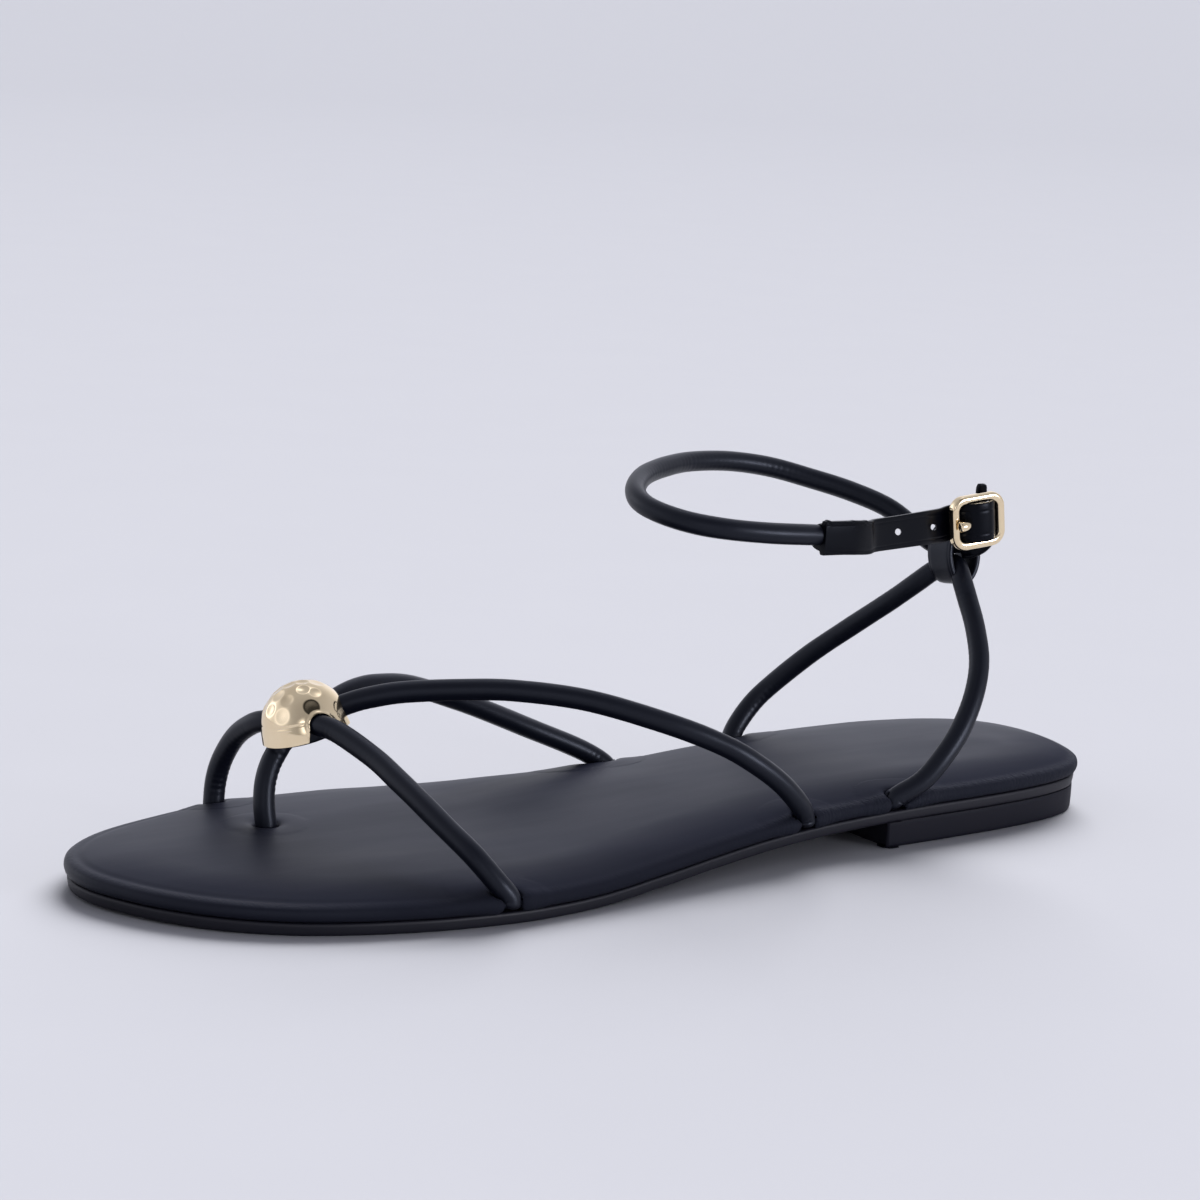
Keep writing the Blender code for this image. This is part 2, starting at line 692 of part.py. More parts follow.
def prong_route():
    """Sample the prong from its eye to its tip."""
    return smooth_route([in_buckle(row) for row in PRONG_ROUTE], step=PRONG_STEP)


def buckle_prong(collection, helpers):
    """Build the prong with its eye round the middle bar."""
    low, high = middle_bar_ends(PRONG_EYE_LENGTH)
    prong = cylinder_between("buckle_prong", low, high, PRONG_EYE_RADIUS, collection)
    wire = tube("prong_wire", prong_route(), PRONG_RADIUS, helpers, PRONG_SIDES_RESOLUTION)
    boolean(prong, "UNION", wire)
    low, high = middle_bar_ends(BORE_LENGTH)
    room = MIDDLE_BAR_RADIUS + CLEARANCE
    boolean(prong, "DIFFERENCE", cylinder_between("prong_eye", low, high, room, helpers))
    return prong


def buckle_chape(collection, helpers):
    """Build the leather that holds the buckle: its socket, strip, eye, slot and tail."""
    axes = buckle_axes()
    places = [in_buckle(row[:3]) for row in CHAPE_ROUTE]
    sizes = [(CHAPE_WIDTH, row.thickness) for row in CHAPE_ROUTE]
    chape = strip("buckle_chape", places, sizes, axes[1], collection)
    low, high = middle_bar_ends(CHAPE_WIDTH)
    eye = cylinder_between("chape_eye", low, high, CHAPE_EYE_RADIUS, helpers, CHAPE_EYE_SEGMENTS)
    boolean(chape, "UNION", eye)
    tail = box_on_axes("chape_tail", in_buckle(CHAPE_TAIL), CHAPE_TAIL_SIZE, axes, helpers)
    boolean(chape, "UNION", tail)
    low, high = middle_bar_ends(BORE_LENGTH)
    room = MIDDLE_BAR_RADIUS + CLEARANCE
    boolean(chape, "DIFFERENCE", cylinder_between("chape_bore", low, high, room, helpers))
    slot_size = Vector((CHAPE_SLOT_DEPTH, CHAPE_SLOT, CHAPE_SLOT_DEPTH))
    slot = box_on_axes("chape_slot", in_buckle((0, 0, MIDDLE_BAR_OUTWARD)), slot_size, axes, helpers)
    boolean(chape, "DIFFERENCE", slot)
    strap_end = deeper(ankle_strap_route()[:SOCKET_SAMPLES - 1][::-1])
    socket = tube("chape_socket", strap_end, STRAP_RADIUS + CLEARANCE, helpers)
    boolean(chape, "DIFFERENCE", socket)
    return chape


def through_footbed(route):
    """The last stretch of a tucked strap, run on downwards so that its notch cuts right through."""
    below = route[-1] - Vector((0, 0, NOTCH_RUNOUT))
    return route[-NOTCH_SAMPLES:] + [below]


def notch_footbed(footbed, helpers):
    """Cut the post hole and the notches where the straps tuck in."""
    heel_route = heel_strap_route()
    routes = front_strap_routes()
    routes["inner_heel"] = heel_route[::-1]
    routes["outer_heel"] = heel_route
    for name, route in routes.items():
        cutter = tube(name + "_notch", through_footbed(route), STRAP_RADIUS + CLEARANCE, helpers)
        boolean(footbed, "DIFFERENCE", cutter)


def dress(piece, finish):
    """Give a piece its own material."""
    made = bpy.data.materials.new(piece.name + "_finish")
    made.use_nodes = True
    shader = made.node_tree.nodes["Principled BSDF"]
    shader.inputs["Base Color"].default_value = (finish.red, finish.green, finish.blue, 1.0)
    shader.inputs["Roughness"].default_value = finish.roughness
    shader.inputs["Metallic"].default_value = finish.metallic
    piece.data.materials.append(made)
    piece.data.shade_smooth()
    piece.data.set_sharp_from_angle(angle=SHARP_ANGLE)


def main():
    """Build the sandal from the sole up."""
    clear_scene()
    shoe = new_collection("strappy_flat_sandal")
    helpers = new_collection("cutters_and_operands")
    dress(sole_layer("outsole", OUTSOLE_EDGE, lift, shoe), BLACK_SOLE)
    dress(heel_block(shoe), BLACK_SOLE)
    footbed = sole_layer("footbed", FOOTBED_EDGE, lambda x: outsole_top(x) + CLEARANCE, shoe)
    notch_footbed(footbed, helpers)
    dress(footbed, BLACK_FOOTBED)
    dress(front_straps(shoe, helpers), BLACK_LEATHER)
    dress(bead_dome(shoe, helpers), PALE_GOLD)
    dress(tube("heel_strap", heel_strap_route(), STRAP_RADIUS, shoe), BLACK_LEATHER)
    dress(keeper_ring(shoe, helpers), BLACK_LEATHER)
    dress(tube("ankle_strap", ankle_strap_route(), STRAP_RADIUS, shoe), BLACK_LEATHER)
    dress(ankle_billet(shoe, helpers), BLACK_LEATHER)
    dress(buckle_chape(shoe, helpers), BLACK_LEATHER)
    dress(buckle_frame(shoe, helpers), PALE_GOLD)
    dress(buckle_prong(shoe, helpers), PALE_GOLD)


main()
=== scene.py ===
"""Looks of a strappy flat sandal for the left foot: leather, rubber and pale gold on its frame.

Tables are millimetres in the shoemaker's measure: x from the heel end to the toe, y outwards to the
wearer's left, z up from the floor. Finished meshes are metres, with the origin under mid shoe.
"""

import logging
import math
from contextlib import contextmanager
from dataclasses import dataclass, field
from enum import Enum
from typing import Any, Callable, Iterator, Optional, Sequence

import bmesh
import bpy
import numpy as np
from mathutils import Matrix, Quaternion, Vector, noise


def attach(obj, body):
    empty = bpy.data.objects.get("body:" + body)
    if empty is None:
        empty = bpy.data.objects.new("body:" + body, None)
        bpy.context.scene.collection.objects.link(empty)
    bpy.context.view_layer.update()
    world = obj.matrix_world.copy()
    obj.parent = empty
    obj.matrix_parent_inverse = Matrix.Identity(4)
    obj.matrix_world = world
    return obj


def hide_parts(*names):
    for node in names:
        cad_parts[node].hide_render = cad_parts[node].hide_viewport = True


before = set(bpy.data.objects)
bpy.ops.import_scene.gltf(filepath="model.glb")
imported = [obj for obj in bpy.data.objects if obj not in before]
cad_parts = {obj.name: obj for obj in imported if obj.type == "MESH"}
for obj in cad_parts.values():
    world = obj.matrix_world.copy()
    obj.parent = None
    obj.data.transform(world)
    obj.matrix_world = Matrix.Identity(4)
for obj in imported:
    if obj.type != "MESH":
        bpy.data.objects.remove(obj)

LOG = logging.getLogger("sandal")
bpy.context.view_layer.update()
BODY = "root"
MM = 0.001
LENGTH = 248.0
CENTRE_Y = 1.34
WELD = 0.000002
AT_ONCE = 4000
UP = (0.0, 0.0, 1.0)
NOISE_WAY = (1.0, 2.3, -1.7)
GOLDEN_TURN = math.pi * (3 - math.sqrt(5))
Points = np.ndarray
Row = Sequence[float]


class Run(Enum):
    """Which coordinates a pattern follows."""

    OBJECT = "Object"
    STRAP = "UV"
    SKY = "Generated"


class Slot(Enum):
    """Material slots of the record."""

    SOLE = "black_sole"
    FOOTBED = "black_footbed"
    STRAP = "black_strap"
    GOLD = "pale_gold"


def to_model(points: Points) -> Points:
    """Turn places in the shoemaker's millimetres into the model's metres."""
    return (np.asarray(points, float) - (LENGTH / 2, CENTRE_Y, 0.0)) * MM


def to_maker(points: Points) -> Points:
    """Turn places in the model's metres into the shoemaker's millimetres."""
    return points / MM + (LENGTH / 2, CENTRE_Y, 0.0)


# Shader graph


class Value:
    """A shader socket that takes part in Python expressions."""

    def __init__(self, graph: "Graph", socket: bpy.types.NodeSocket) -> None:
        """Wrap a socket of a graph."""
        self.graph = graph
        self.socket = socket

    def _math(self, operation: str, first: Any, second: Any) -> "Value":
        """Add one Math node on two values."""
        return self.graph.node("ShaderNodeMath", {"operation": operation}, {0: first, 1: second})

    def __add__(self, other: Any) -> "Value":
        """Sum."""
        return self._math("ADD", self, other)

    def __radd__(self, other: Any) -> "Value":
        """Sum with a number in front."""
        return self._math("ADD", other, self)

    def __sub__(self, other: Any) -> "Value":
        """Difference."""
        return self._math("SUBTRACT", self, other)

    def __rsub__(self, other: Any) -> "Value":
        """Difference with a number in front."""
        return self._math("SUBTRACT", other, self)

    def __mul__(self, other: Any) -> "Value":
        """Product."""
        return self._math("MULTIPLY", self, other)

    def __rmul__(self, other: Any) -> "Value":
        """Product with a number in front."""
        return self._math("MULTIPLY", other, self)

    def __pow__(self, other: Any) -> "Value":
        """Power."""
        return self._math("POWER", self, other)


class Graph:
    """The node tree of one material around its Principled shader."""

    def __init__(self, name: str) -> None:
        """Start a material.

        Args:
            name: the material's name.
        """
        self.material = bpy.data.materials.new(name)
        self.material.use_nodes = True
        self.tree = self.material.node_tree
        self.shader = self.tree.nodes["Principled BSDF"]

    @classmethod
    def around(cls, tree: bpy.types.NodeTree) -> "Graph":
        """Work on a node tree that is there already.

        Args:
            tree: the node tree.

        Returns:
            The graph around it.
        """
        made = cls.__new__(cls)
        made.tree = tree
        return made

    def node(self, kind: str, settings: Optional[dict] = None, inputs: Optional[dict] = None,
             output: Any = 0) -> Value:
        """Add a node.

        Args:
            kind: the node's type name.
            settings: its properties, set first.
            inputs: values or links of its sockets, by name or number.
            output: the socket that is returned.

        Returns:
            The wrapped output socket.
        """
        made = self.tree.nodes.new(kind)
        for key, value in (settings or {}).items():
            setattr(made, key, value)
        for key, value in (inputs or {}).items():
            if isinstance(value, Value):
                self.tree.links.new(value.socket, made.inputs[key])
            else:
                made.inputs[key].default_value = value
        return Value(self, made.outputs[output])

    def coordinates(self, run: Run) -> Value:
        """Coordinates of the piece, in metres."""
        return self.node("ShaderNodeTexCoord", output=run.value)

    def stretched(self, vector: Value, scale: Row) -> Value:
        """Scale coordinates by a different number on each axis."""
        return self.node("ShaderNodeMapping", inputs={"Vector": vector, "Scale": tuple(scale)})

    def noise(self, vector: Value, size_mm: float, detail: float = 2.0, rough: float = 0.5) -> Value:
        """Soft noise whose features have a given size."""
        return self.node("ShaderNodeTexNoise", inputs={"Vector": vector, "Scale": 1.0 / (size_mm * MM),
                                                       "Detail": detail, "Roughness": rough})

    def cells(self, vector: Value, size_mm: float) -> Value:
        """Pebbled grain: distance to the nearest cell centre."""
        return self.node("ShaderNodeTexVoronoi", {"feature": "SMOOTH_F1"},
                         {"Vector": vector, "Scale": 1.0 / (size_mm * MM), "Smoothness": 0.6})

    def facing(self, vector: Value, way: Row, spread: float) -> Value:
        """How far a direction faces one way, from 0 to 1; a higher power is narrower.

        Args:
            vector: the direction.
            way: the way that it may face.
            spread: the power that narrows the share.

        Returns:
            The share.
        """
        length = math.sqrt(sum(part * part for part in way))
        toward = tuple(part / length for part in way)
        dot = self.node("ShaderNodeVectorMath", {"operation": "DOT_PRODUCT"},
                        {0: vector, 1: toward}, "Value")
        return self.clamped(dot) ** spread

    def clamped(self, value: Value) -> Value:
        """Hold a value between 0 and 1."""
        return self.node("ShaderNodeClamp", inputs={"Value": value})

    def attribute(self, name: str) -> Value:
        """A number stored on the piece's points."""
        return self.node("ShaderNodeAttribute", {"attribute_name": name}, output="Fac")

    def blend(self, factor: Value, low: Row, high: Row) -> Value:
        """Mix two colours."""
        return self.node("ShaderNodeMix", {"data_type": "RGBA"},
                         {0: factor, 6: (*low, 1.0), 7: (*high, 1.0)}, output=2)

    def bump(self, height: Value, depth_mm: float, under: Optional[Value] = None) -> Value:
        """A bump of a real depth, on top of another one if given.

        Args:
            height: the relief.
            depth_mm: its real depth.
            under: normals of a bump below it.

        Returns:
            The bumped normals.
        """
        inputs: dict = {"Height": height, "Strength": 1.0, "Distance": depth_mm * MM}
        if under is not None:
            inputs["Normal"] = under
        return self.node("ShaderNodeBump", inputs=inputs)

    def constants(self, **sockets: Any) -> None:
        """Set sockets of the shader that are the same all over; underscores stand for spaces."""
        for key, value in sockets.items():
            self.shader.inputs[key.replace("_", " ")].default_value = value

    def connect(self, **sockets: Value) -> None:
        """Link values that change over the surface; underscores stand for spaces."""
        for key, value in sockets.items():
            self.tree.links.new(value.socket, self.shader.inputs[key.replace("_", " ")])


# Finishes


BLUE_SHEEN = (0.80, 0.86, 1.0, 1.0)


@dataclass(frozen=True)
class Leather:
    """Dyed black leather: fine pebbled grain, pull lines and a soft uneven gloss."""

    name: str
    dark: tuple = (0.0024, 0.0029, 0.0062)
    light: tuple = (0.0046, 0.0054, 0.0100)
    roughness: float = 0.39
    roughness_spread: float = 0.10
    specular: float = 0.27
    grain_mm: float = 0.42
    grain_depth_mm: float = 0.006
    pull_depth_mm: float = 0.004
    pull_scale: tuple = (0.25, 1.0, 1.0)
    pull_mm: float = 0.9
    patch_mm: float = 14.0
    run: Run = Run.STRAP

    def material(self) -> bpy.types.Material:
        """Build the leather's nodes.

        Returns:
            The material.
        """
        graph = Graph(self.name)
        place = graph.coordinates(self.run)
        patches = graph.noise(place, self.patch_mm, detail=3.0)
        grain = graph.cells(place, self.grain_mm)
        pull = graph.noise(graph.stretched(place, self.pull_scale), self.pull_mm, detail=4.0, rough=0.6)
        relief = graph.bump(pull, self.pull_depth_mm)
        relief = graph.bump(grain, self.grain_depth_mm, relief)
        spread, level = self.roughness_spread, self.roughness - self.roughness_spread
        graph.connect(Base_Color=graph.blend(patches, self.dark, self.light),
                      Roughness=patches * spread + pull * spread + level, Normal=relief)
        graph.constants(Specular_IOR_Level=self.specular, Specular_Tint=BLUE_SHEEN)
        return graph.material


@dataclass(frozen=True)
class FootbedLeather:
    """Smooth satin leather over the pad, with fine broken wrinkles along its wrapped edge."""

    name: str = "footbed_leather"
    dark: tuple = (0.0045, 0.0051, 0.0098)
    light: tuple = (0.0076, 0.0084, 0.0150)
    least_roughness: float = 0.33
    sweep_roughness: float = 0.16
    smear_roughness: float = 0.08
    border_matte: float = 0.38
    rim_polish: float = 0.2
    specular: float = 0.19
    grain_mm: float = 0.55
    grain_depth_mm: float = 0.006
    wrinkle_mm: float = 0.7
    wrinkle_scale: tuple = (1.0, 0.55, 0.8)
    wrinkle_depth_mm: float = 0.45
    sweep_mm: float = 26.0
    sweep_scale: tuple = (0.45, 1.0, 1.0)
    smear_mm: float = 5.0
    smear_scale: tuple = (0.2, 1.0, 1.0)
    rim_attribute: str = "wrapped_edge"
    border_attribute: str = "matte_border"

    def material(self) -> bpy.types.Material:
        """Build the footbed's nodes.

        Returns:
            The material.
        """
        graph = Graph(self.name)
        place = graph.coordinates(Run.OBJECT)
        sweep = graph.noise(graph.stretched(place, self.sweep_scale), self.sweep_mm, detail=3.0)
        smear = graph.noise(graph.stretched(place, self.smear_scale), self.smear_mm, detail=4.0)
        rim = graph.attribute(self.rim_attribute)
        border = graph.attribute(self.border_attribute)
        wrinkle = graph.noise(graph.stretched(place, self.wrinkle_scale), self.wrinkle_mm,
                              detail=3.0, rough=0.65)
        relief = graph.bump(wrinkle * rim, self.wrinkle_depth_mm)
        relief = graph.bump(graph.cells(place, self.grain_mm), self.grain_depth_mm, relief)
        rough = sweep * self.sweep_roughness + smear * self.smear_roughness
        rough = rough + border * self.border_matte - rim * self.rim_polish + self.least_roughness
        graph.connect(Base_Color=graph.blend(sweep, self.dark, self.light), Roughness=rough, Normal=relief)
        graph.constants(Specular_IOR_Level=self.specular, Specular_Tint=BLUE_SHEEN)
        return graph.material


@dataclass(frozen=True)
class Rubber:
    """Matte black moulded rubber with a fine stipple."""

    name: str
    dark: tuple = (0.0042, 0.0042, 0.0090)
    light: tuple = (0.0074, 0.0074, 0.0132)
    roughness: float = 0.55
    specular: float = 0.14
    dust_roughness: float = 0.16
    dust_mm: float = 6.0
    dust_scale: tuple = (0.3, 0.3, 1.6)
    stipple_mm: float = 0.5
    stipple_depth_mm: float = 0.012

    def material(self) -> bpy.types.Material:
        """Build the rubber's nodes.

        Returns:
            The material.
        """
        graph = Graph(self.name)
        place = graph.coordinates(Run.OBJECT)
        dust = graph.noise(graph.stretched(place, self.dust_scale), self.dust_mm, detail=5.0, rough=0.6)
        stipple = graph.noise(place, self.stipple_mm, detail=3.0, rough=0.6)
        level = self.roughness - self.dust_roughness / 2
        graph.connect(Base_Color=graph.blend(dust, self.dark, self.light),
                      Roughness=dust * self.dust_roughness + level,
                      Normal=graph.bump(stipple, self.stipple_depth_mm))
        graph.constants(Specular_IOR_Level=self.specular)
        return graph.material


@dataclass(frozen=True)
class PlatedGold:
    """Polished pale gold plating with faint smudges."""

    name: str
    deep: tuple = (0.82, 0.65, 0.41)
    pale: tuple = (0.95, 0.80, 0.56)
    roughness: float = 0.09
    smudge_roughness: float = 0.08
    cloud_mm: float = 5.0
    smudge_mm: float = 1.6
    ripple_mm: float = 1.1
    ripple_depth_mm: float = 0.004

    def material(self) -> bpy.types.Material:
        """Build the metal's nodes.

        Returns:
            The material.
        """
        graph = Graph(self.name)
        place = graph.coordinates(Run.OBJECT)
        cloud = graph.noise(place, self.cloud_mm, detail=3.0)
        smudge = graph.noise(place, self.smudge_mm, detail=4.0, rough=0.6)
        level = self.roughness - self.smudge_roughness / 2
        graph.connect(Base_Color=graph.blend(cloud, self.deep, self.pale),
                      Roughness=smudge * self.smudge_roughness + level,
                      Normal=graph.bump(graph.noise(place, self.ripple_mm), self.ripple_depth_mm))
        graph.constants(Metallic=1.0)
        return graph.material


@dataclass(frozen=True)
class PaperFloor:
    """Pale seamless paper that the shoe stands on, with a painted pool of light: lighter near the shoe,
    darker far out.
    """

    name: str = "paper_floor"
    # Paper colour far out and near the shoe; the brightening towards the shoe is painted light.
    far: tuple = (0.258, 0.260, 0.283)
    near: tuple = (0.296, 0.297, 0.321)
    reach: float = 3.0
    fibre_mm: float = 40.0
    fibre_share: float = 0.15
    roughness: float = 0.9
    specular: float = 0.1

    def material(self) -> bpy.types.Material:
        """Build the paper's nodes.

        Returns:
            The material.
        """
        graph = Graph(self.name)
        place = graph.coordinates(Run.OBJECT)
        fibre = graph.noise(place, self.fibre_mm)
        # Spherical gradient round the middle: the painted pool of light on the paper.
        near = graph.node("ShaderNodeTexGradient", {"gradient_type": "SPHERICAL"},
                          {"Vector": graph.stretched(place, (1 / self.reach,) * 3)}, "Fac")
        share = near * (1 - self.fibre_share) + fibre * self.fibre_share
        graph.connect(Base_Color=graph.blend(share, self.far, self.near))
        graph.constants(Roughness=self.roughness, Specular_IOR_Level=self.specular)
        return graph.material


# Mesh work


def pick(piece: bpy.types.Object) -> None:
    """Make a piece the only one selected, and active.

    Args:
        piece: the mesh object.
    """
    bpy.ops.object.select_all(action="DESELECT")
    piece.select_set(True)
    bpy.context.view_layer.objects.active = piece


@contextmanager
def editing(piece: bpy.types.Object) -> Iterator[None]:
    """Work on a piece in edit mode, with all of it selected at first.

    Args:
        piece: the mesh object.

    Returns:
        The stretch of work, for a with statement.
    """
    pick(piece)
    bpy.ops.object.mode_set(mode="EDIT")
    bpy.ops.mesh.select_all(action="SELECT")
    yield
    bpy.ops.object.mode_set(mode="OBJECT")


def just_added(name: str) -> bpy.types.Object:
    """Name the primitive that was added last, and its mesh.

    Args:
        name: its new name.

    Returns:
        The mesh object.
    """
    piece = bpy.context.active_object
    piece.name = name
    piece.data.name = name
    return piece


def read_points(piece: bpy.types.Object) -> Points:
    """Read a mesh's points.

    Args:
        piece: the mesh object.

    Returns:
        Each point's place in metres.
    """
    flat = np.empty(len(piece.data.vertices) * 3)
    piece.data.vertices.foreach_get("co", flat)
    return flat.reshape(-1, 3)


def read_normals(piece: bpy.types.Object) -> Points:
    """Read a mesh's point normals.

    Args:
        piece: the mesh object.

    Returns:
        Each point's unit normal.
    """
    flat = np.empty(len(piece.data.vertices) * 3, np.float32)
    piece.data.vertex_normals.foreach_get("vector", flat)
    return flat.reshape(-1, 3).astype(float)


def write_points(piece: bpy.types.Object, points: Points) -> None:
    """Move a mesh's points."""
    piece.data.vertices.foreach_set("co", np.ascontiguousarray(points, float).ravel())
    piece.data.update()


def store(piece: bpy.types.Object, name: str, values: Points) -> None:
    """Store a number on each point of a mesh."""
    made = piece.data.attributes.new(name, "FLOAT", "POINT")
    made.data.foreach_set("value", np.ascontiguousarray(values, np.float32))


def rolled_grid(name: str, along: int, around: int, place: Callable[[Points, Points], Points],
                span_mm: Row = (1.0, 1.0)) -> bpy.types.Object:
    """Add a grid like a cut sheet, lay each of its points in place and weld the edges that meet.

    Args:
        name: the piece's name.
        along: faces along the sheet.
        around: faces across the sheet.
        place: gives the metres of each point from its row and column numbers.
        span_mm: real length and width of the sheet, for its UV map.

    Returns:
        The new mesh object.
    """
    bpy.ops.object.select_all(action="DESELECT")
    bpy.ops.mesh.primitive_grid_add(x_subdivisions=along, y_subdivisions=around, size=1.0)
    piece = just_added(name)
    flat = read_points(piece)
    rows = np.rint((flat[:, 0] + 0.5) * along).astype(int)
    columns = np.rint((flat[:, 1] + 0.5) * around).astype(int)
    write_points(piece, place(rows, columns))
    layer = piece.data.uv_layers.active.data
    sheet = np.empty(len(layer) * 2)
    layer.foreach_get("uv", sheet)
    layer.foreach_set("uv", (sheet.reshape(-1, 2) * np.asarray(span_mm) * MM).ravel())
    with editing(piece):
        bpy.ops.mesh.remove_doubles(threshold=WELD)
        bpy.ops.mesh.normals_make_consistent(inside=False)
    return piece


def select_open_edges(piece: bpy.types.Object, wanted: Callable[[Vector], bool]) -> None:
    """Select only those open edges of a mesh in edit mode whose ends lie in wanted places.

    Args:
        piece: the mesh object, in edit mode.
        wanted: tells from a place whether it is wanted.
    """
    bpy.ops.mesh.select_mode(type="EDGE")
    bpy.ops.mesh.select_all(action="DESELECT")
    edit = bmesh.from_edit_mesh(piece.data)
    for edge in edit.edges:
        if edge.is_boundary and all(wanted(corner.co) for corner in edge.verts):
            edge.select_set(True)
    bmesh.update_edit_mesh(piece.data)


def fill_edge(piece: bpy.types.Object, wanted: Callable[[Vector], bool], span: int) -> int:
    """Fill one open edge of a mesh with a grid.

    Args:
        piece: the mesh object.
        wanted: tells from a place whether it lies on that edge.
        span: faces along the short side of the grid.

    Returns:
        The number of points before the filling.
    """
    before = len(piece.data.vertices)
    with editing(piece):
        select_open_edges(piece, wanted)
        bpy.ops.mesh.fill_grid(span=span, use_interp_simple=True)
        bpy.ops.mesh.select_all(action="SELECT")
        bpy.ops.mesh.normals_make_consistent(inside=False)
    return before


def smooth_shade(piece: bpy.types.Object, degrees: float) -> None:
    """Shade a piece smooth, with its real corners sharp."""
    pick(piece)
    bpy.ops.object.shade_smooth_by_angle(angle=math.radians(degrees))


def apply_modifier(piece: bpy.types.Object, kind: str, **settings: Any) -> None:
    """Add a modifier and apply it at once.

    Args:
        piece: the mesh object.
        kind: the modifier's type name.
        settings: its properties.
    """
    pick(piece)
    made = piece.modifiers.new(kind.lower(), kind)
    for key, value in settings.items():
        setattr(made, key, value)
    bpy.ops.object.modifier_apply(modifier=made.name)


def cut_away(piece: bpy.types.Object, cutter: bpy.types.Object) -> None:
    """Cut a closed mesh out of a piece and remove the cutter."""
    apply_modifier(piece, "BOOLEAN", operation="DIFFERENCE", solver="EXACT", object=cutter)
    bpy.data.objects.remove(cutter, do_unlink=True)


def wobble(places: Points, size_mm: float, seed: float = 0.0) -> Points:
    """Smooth noise at places in millimetres, about -1 to 1."""
    shift = Vector([part * seed for part in NOISE_WAY])
    return np.array([noise.noise(Vector(place) / size_mm + shift) for place in places])


# Number helpers


def bell(distance: Points, width: float) -> Points:
    """A soft bell shape that is one at no distance."""
    return np.exp(-(np.asarray(distance) / width) ** 2)


def ramp(value: Points, start: float, end: float) -> Points:
    """How far a value is on its way from start, which gives 0, to end, which gives 1."""
    return np.clip((value - start) / (end - start), 0, 1)


def eased(share: Points) -> Points:
    """Soften both ends of a share that goes from 0 to 1."""
    return share * share * (3 - 2 * share)


def squared(swing: Points, power: float) -> Points:
    """Push a sine or cosine outwards, so that a round section gets flatter sides."""
    return np.sign(swing) * np.abs(swing) ** power


def edge_crease(across: Points, crease: Row) -> Points:
    """A line along both edges of a strap, from its place across, height and width."""
    place, height, width = crease
    return height * bell(np.abs(across) - place, width)


def rolled_turn(column: Points, count: int) -> Points:
    """Angle of each column of a sheet that is rolled once round."""
    return math.tau * (column % count) / count


def rounded_ends(travel: Points, length: float, reach: float) -> Points:
    """Share of the full section at places along a strap whose ends are rounded."""
    from_end = np.minimum(travel, length - travel) / reach
    return np.sqrt(np.clip(1 - np.clip(1 - from_end, 0, 1) ** 2, 0, 1))


def nearest(points: Points, line: Points) -> Points:
    """Distance of each point to the closest point of a line.

    Args:
        points: the points.
        line: points of the line, in the same unit.

    Returns:
        One distance for each point.
    """
    found = np.empty(len(points))
    for start in range(0, len(points), AT_ONCE):
        part = slice(start, start + AT_ONCE)
        found[part] = np.min(np.linalg.norm(points[part, None] - line, axis=2), axis=1)
    return found


def unit(vectors: Points) -> Points:
    """Scale vectors to length one."""
    return vectors / np.linalg.norm(vectors, axis=-1, keepdims=True)


def right_hand(points: Points) -> Points:
    """Level directions to the right of the way along a closed line."""
    run = unit(np.roll(points, -1, axis=0) - np.roll(points, 1, axis=0))
    return np.stack((run[:, 1], -run[:, 0]), axis=1)


def travelled(points: Points, weight: Any = 1.0) -> Points:
    """Distance travelled at each point of a line, with every gap times its weight."""
    gaps = np.linalg.norm(np.diff(points, axis=0), axis=1)
    return np.concatenate(([0.0], np.cumsum(gaps * weight)))


def sampled(table: Points, travel: Points, where: Points) -> Points:
    """Read every column of a table at distances along its line."""
    return np.stack([np.interp(where, travel, column) for column in table.T], axis=1)


# Dressing


class Dresser:
    """Gives pieces their finish and body, and hides the nodes that they stand for."""

    def __init__(self) -> None:
        """Start with no materials made."""
        self._made: dict = {}

    def dress(self, piece: bpy.types.Object, finish: Any, slot: Slot, *nodes: str) -> bpy.types.Object:
        """Finish one piece.

        Args:
            piece: the mesh object.
            finish: the finish that it wears.
            slot: the record's material slot; not used.
            nodes: the frame's nodes that it replaces.

        Returns:
            The same piece.
        """
        if finish.name not in self._made:
            self._made[finish.name] = finish.material()
        piece.data.materials.clear()
        piece.data.materials.append(self._made[finish.name])
        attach(piece, BODY)
        if nodes:
            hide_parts(*nodes)
        LOG.info("%s: %d faces", piece.name, len(piece.data.polygons))
        return piece


# Curves through tables


class SmoothTable:
    """A smooth curve through the rows of a table that never overshoots them."""

    def __init__(self, keys: Row, values: Row) -> None:
        """Work out the slope at each row.

        Args:
            keys: rising keys of the rows.
            values: their values.
        """
        self.keys = np.asarray(keys, float)
        self.values = np.asarray(values, float)
        steps = np.diff(self.values) / np.diff(self.keys)
        before, after = steps[:-1], steps[1:]
        same_way = before * after > 0
        total = np.where(same_way, before + after, 1.0)
        inner = np.where(same_way, 2 * before * after / total, 0.0)
        self.tangents = np.concatenate(([steps[0]], inner, [steps[-1]]))

    def __call__(self, where: Points) -> Points:
        """Read the curve.

        Args:
            where: keys to read the curve at.

        Returns:
            The curve's values there.
        """
        where = np.clip(where, self.keys[0], self.keys[-1])
        row = np.clip(np.searchsorted(self.keys, where, side="right") - 1, 0, len(self.keys) - 2)
        span = self.keys[row + 1] - self.keys[row]
        t = (where - self.keys[row]) / span
        return ((2 * t ** 3 - 3 * t ** 2 + 1) * self.values[row]
                + (t ** 3 - 2 * t ** 2 + t) * span * self.tangents[row]
                + (3 * t ** 2 - 2 * t ** 3) * self.values[row + 1]
                + (t ** 3 - t ** 2) * span * self.tangents[row + 1])


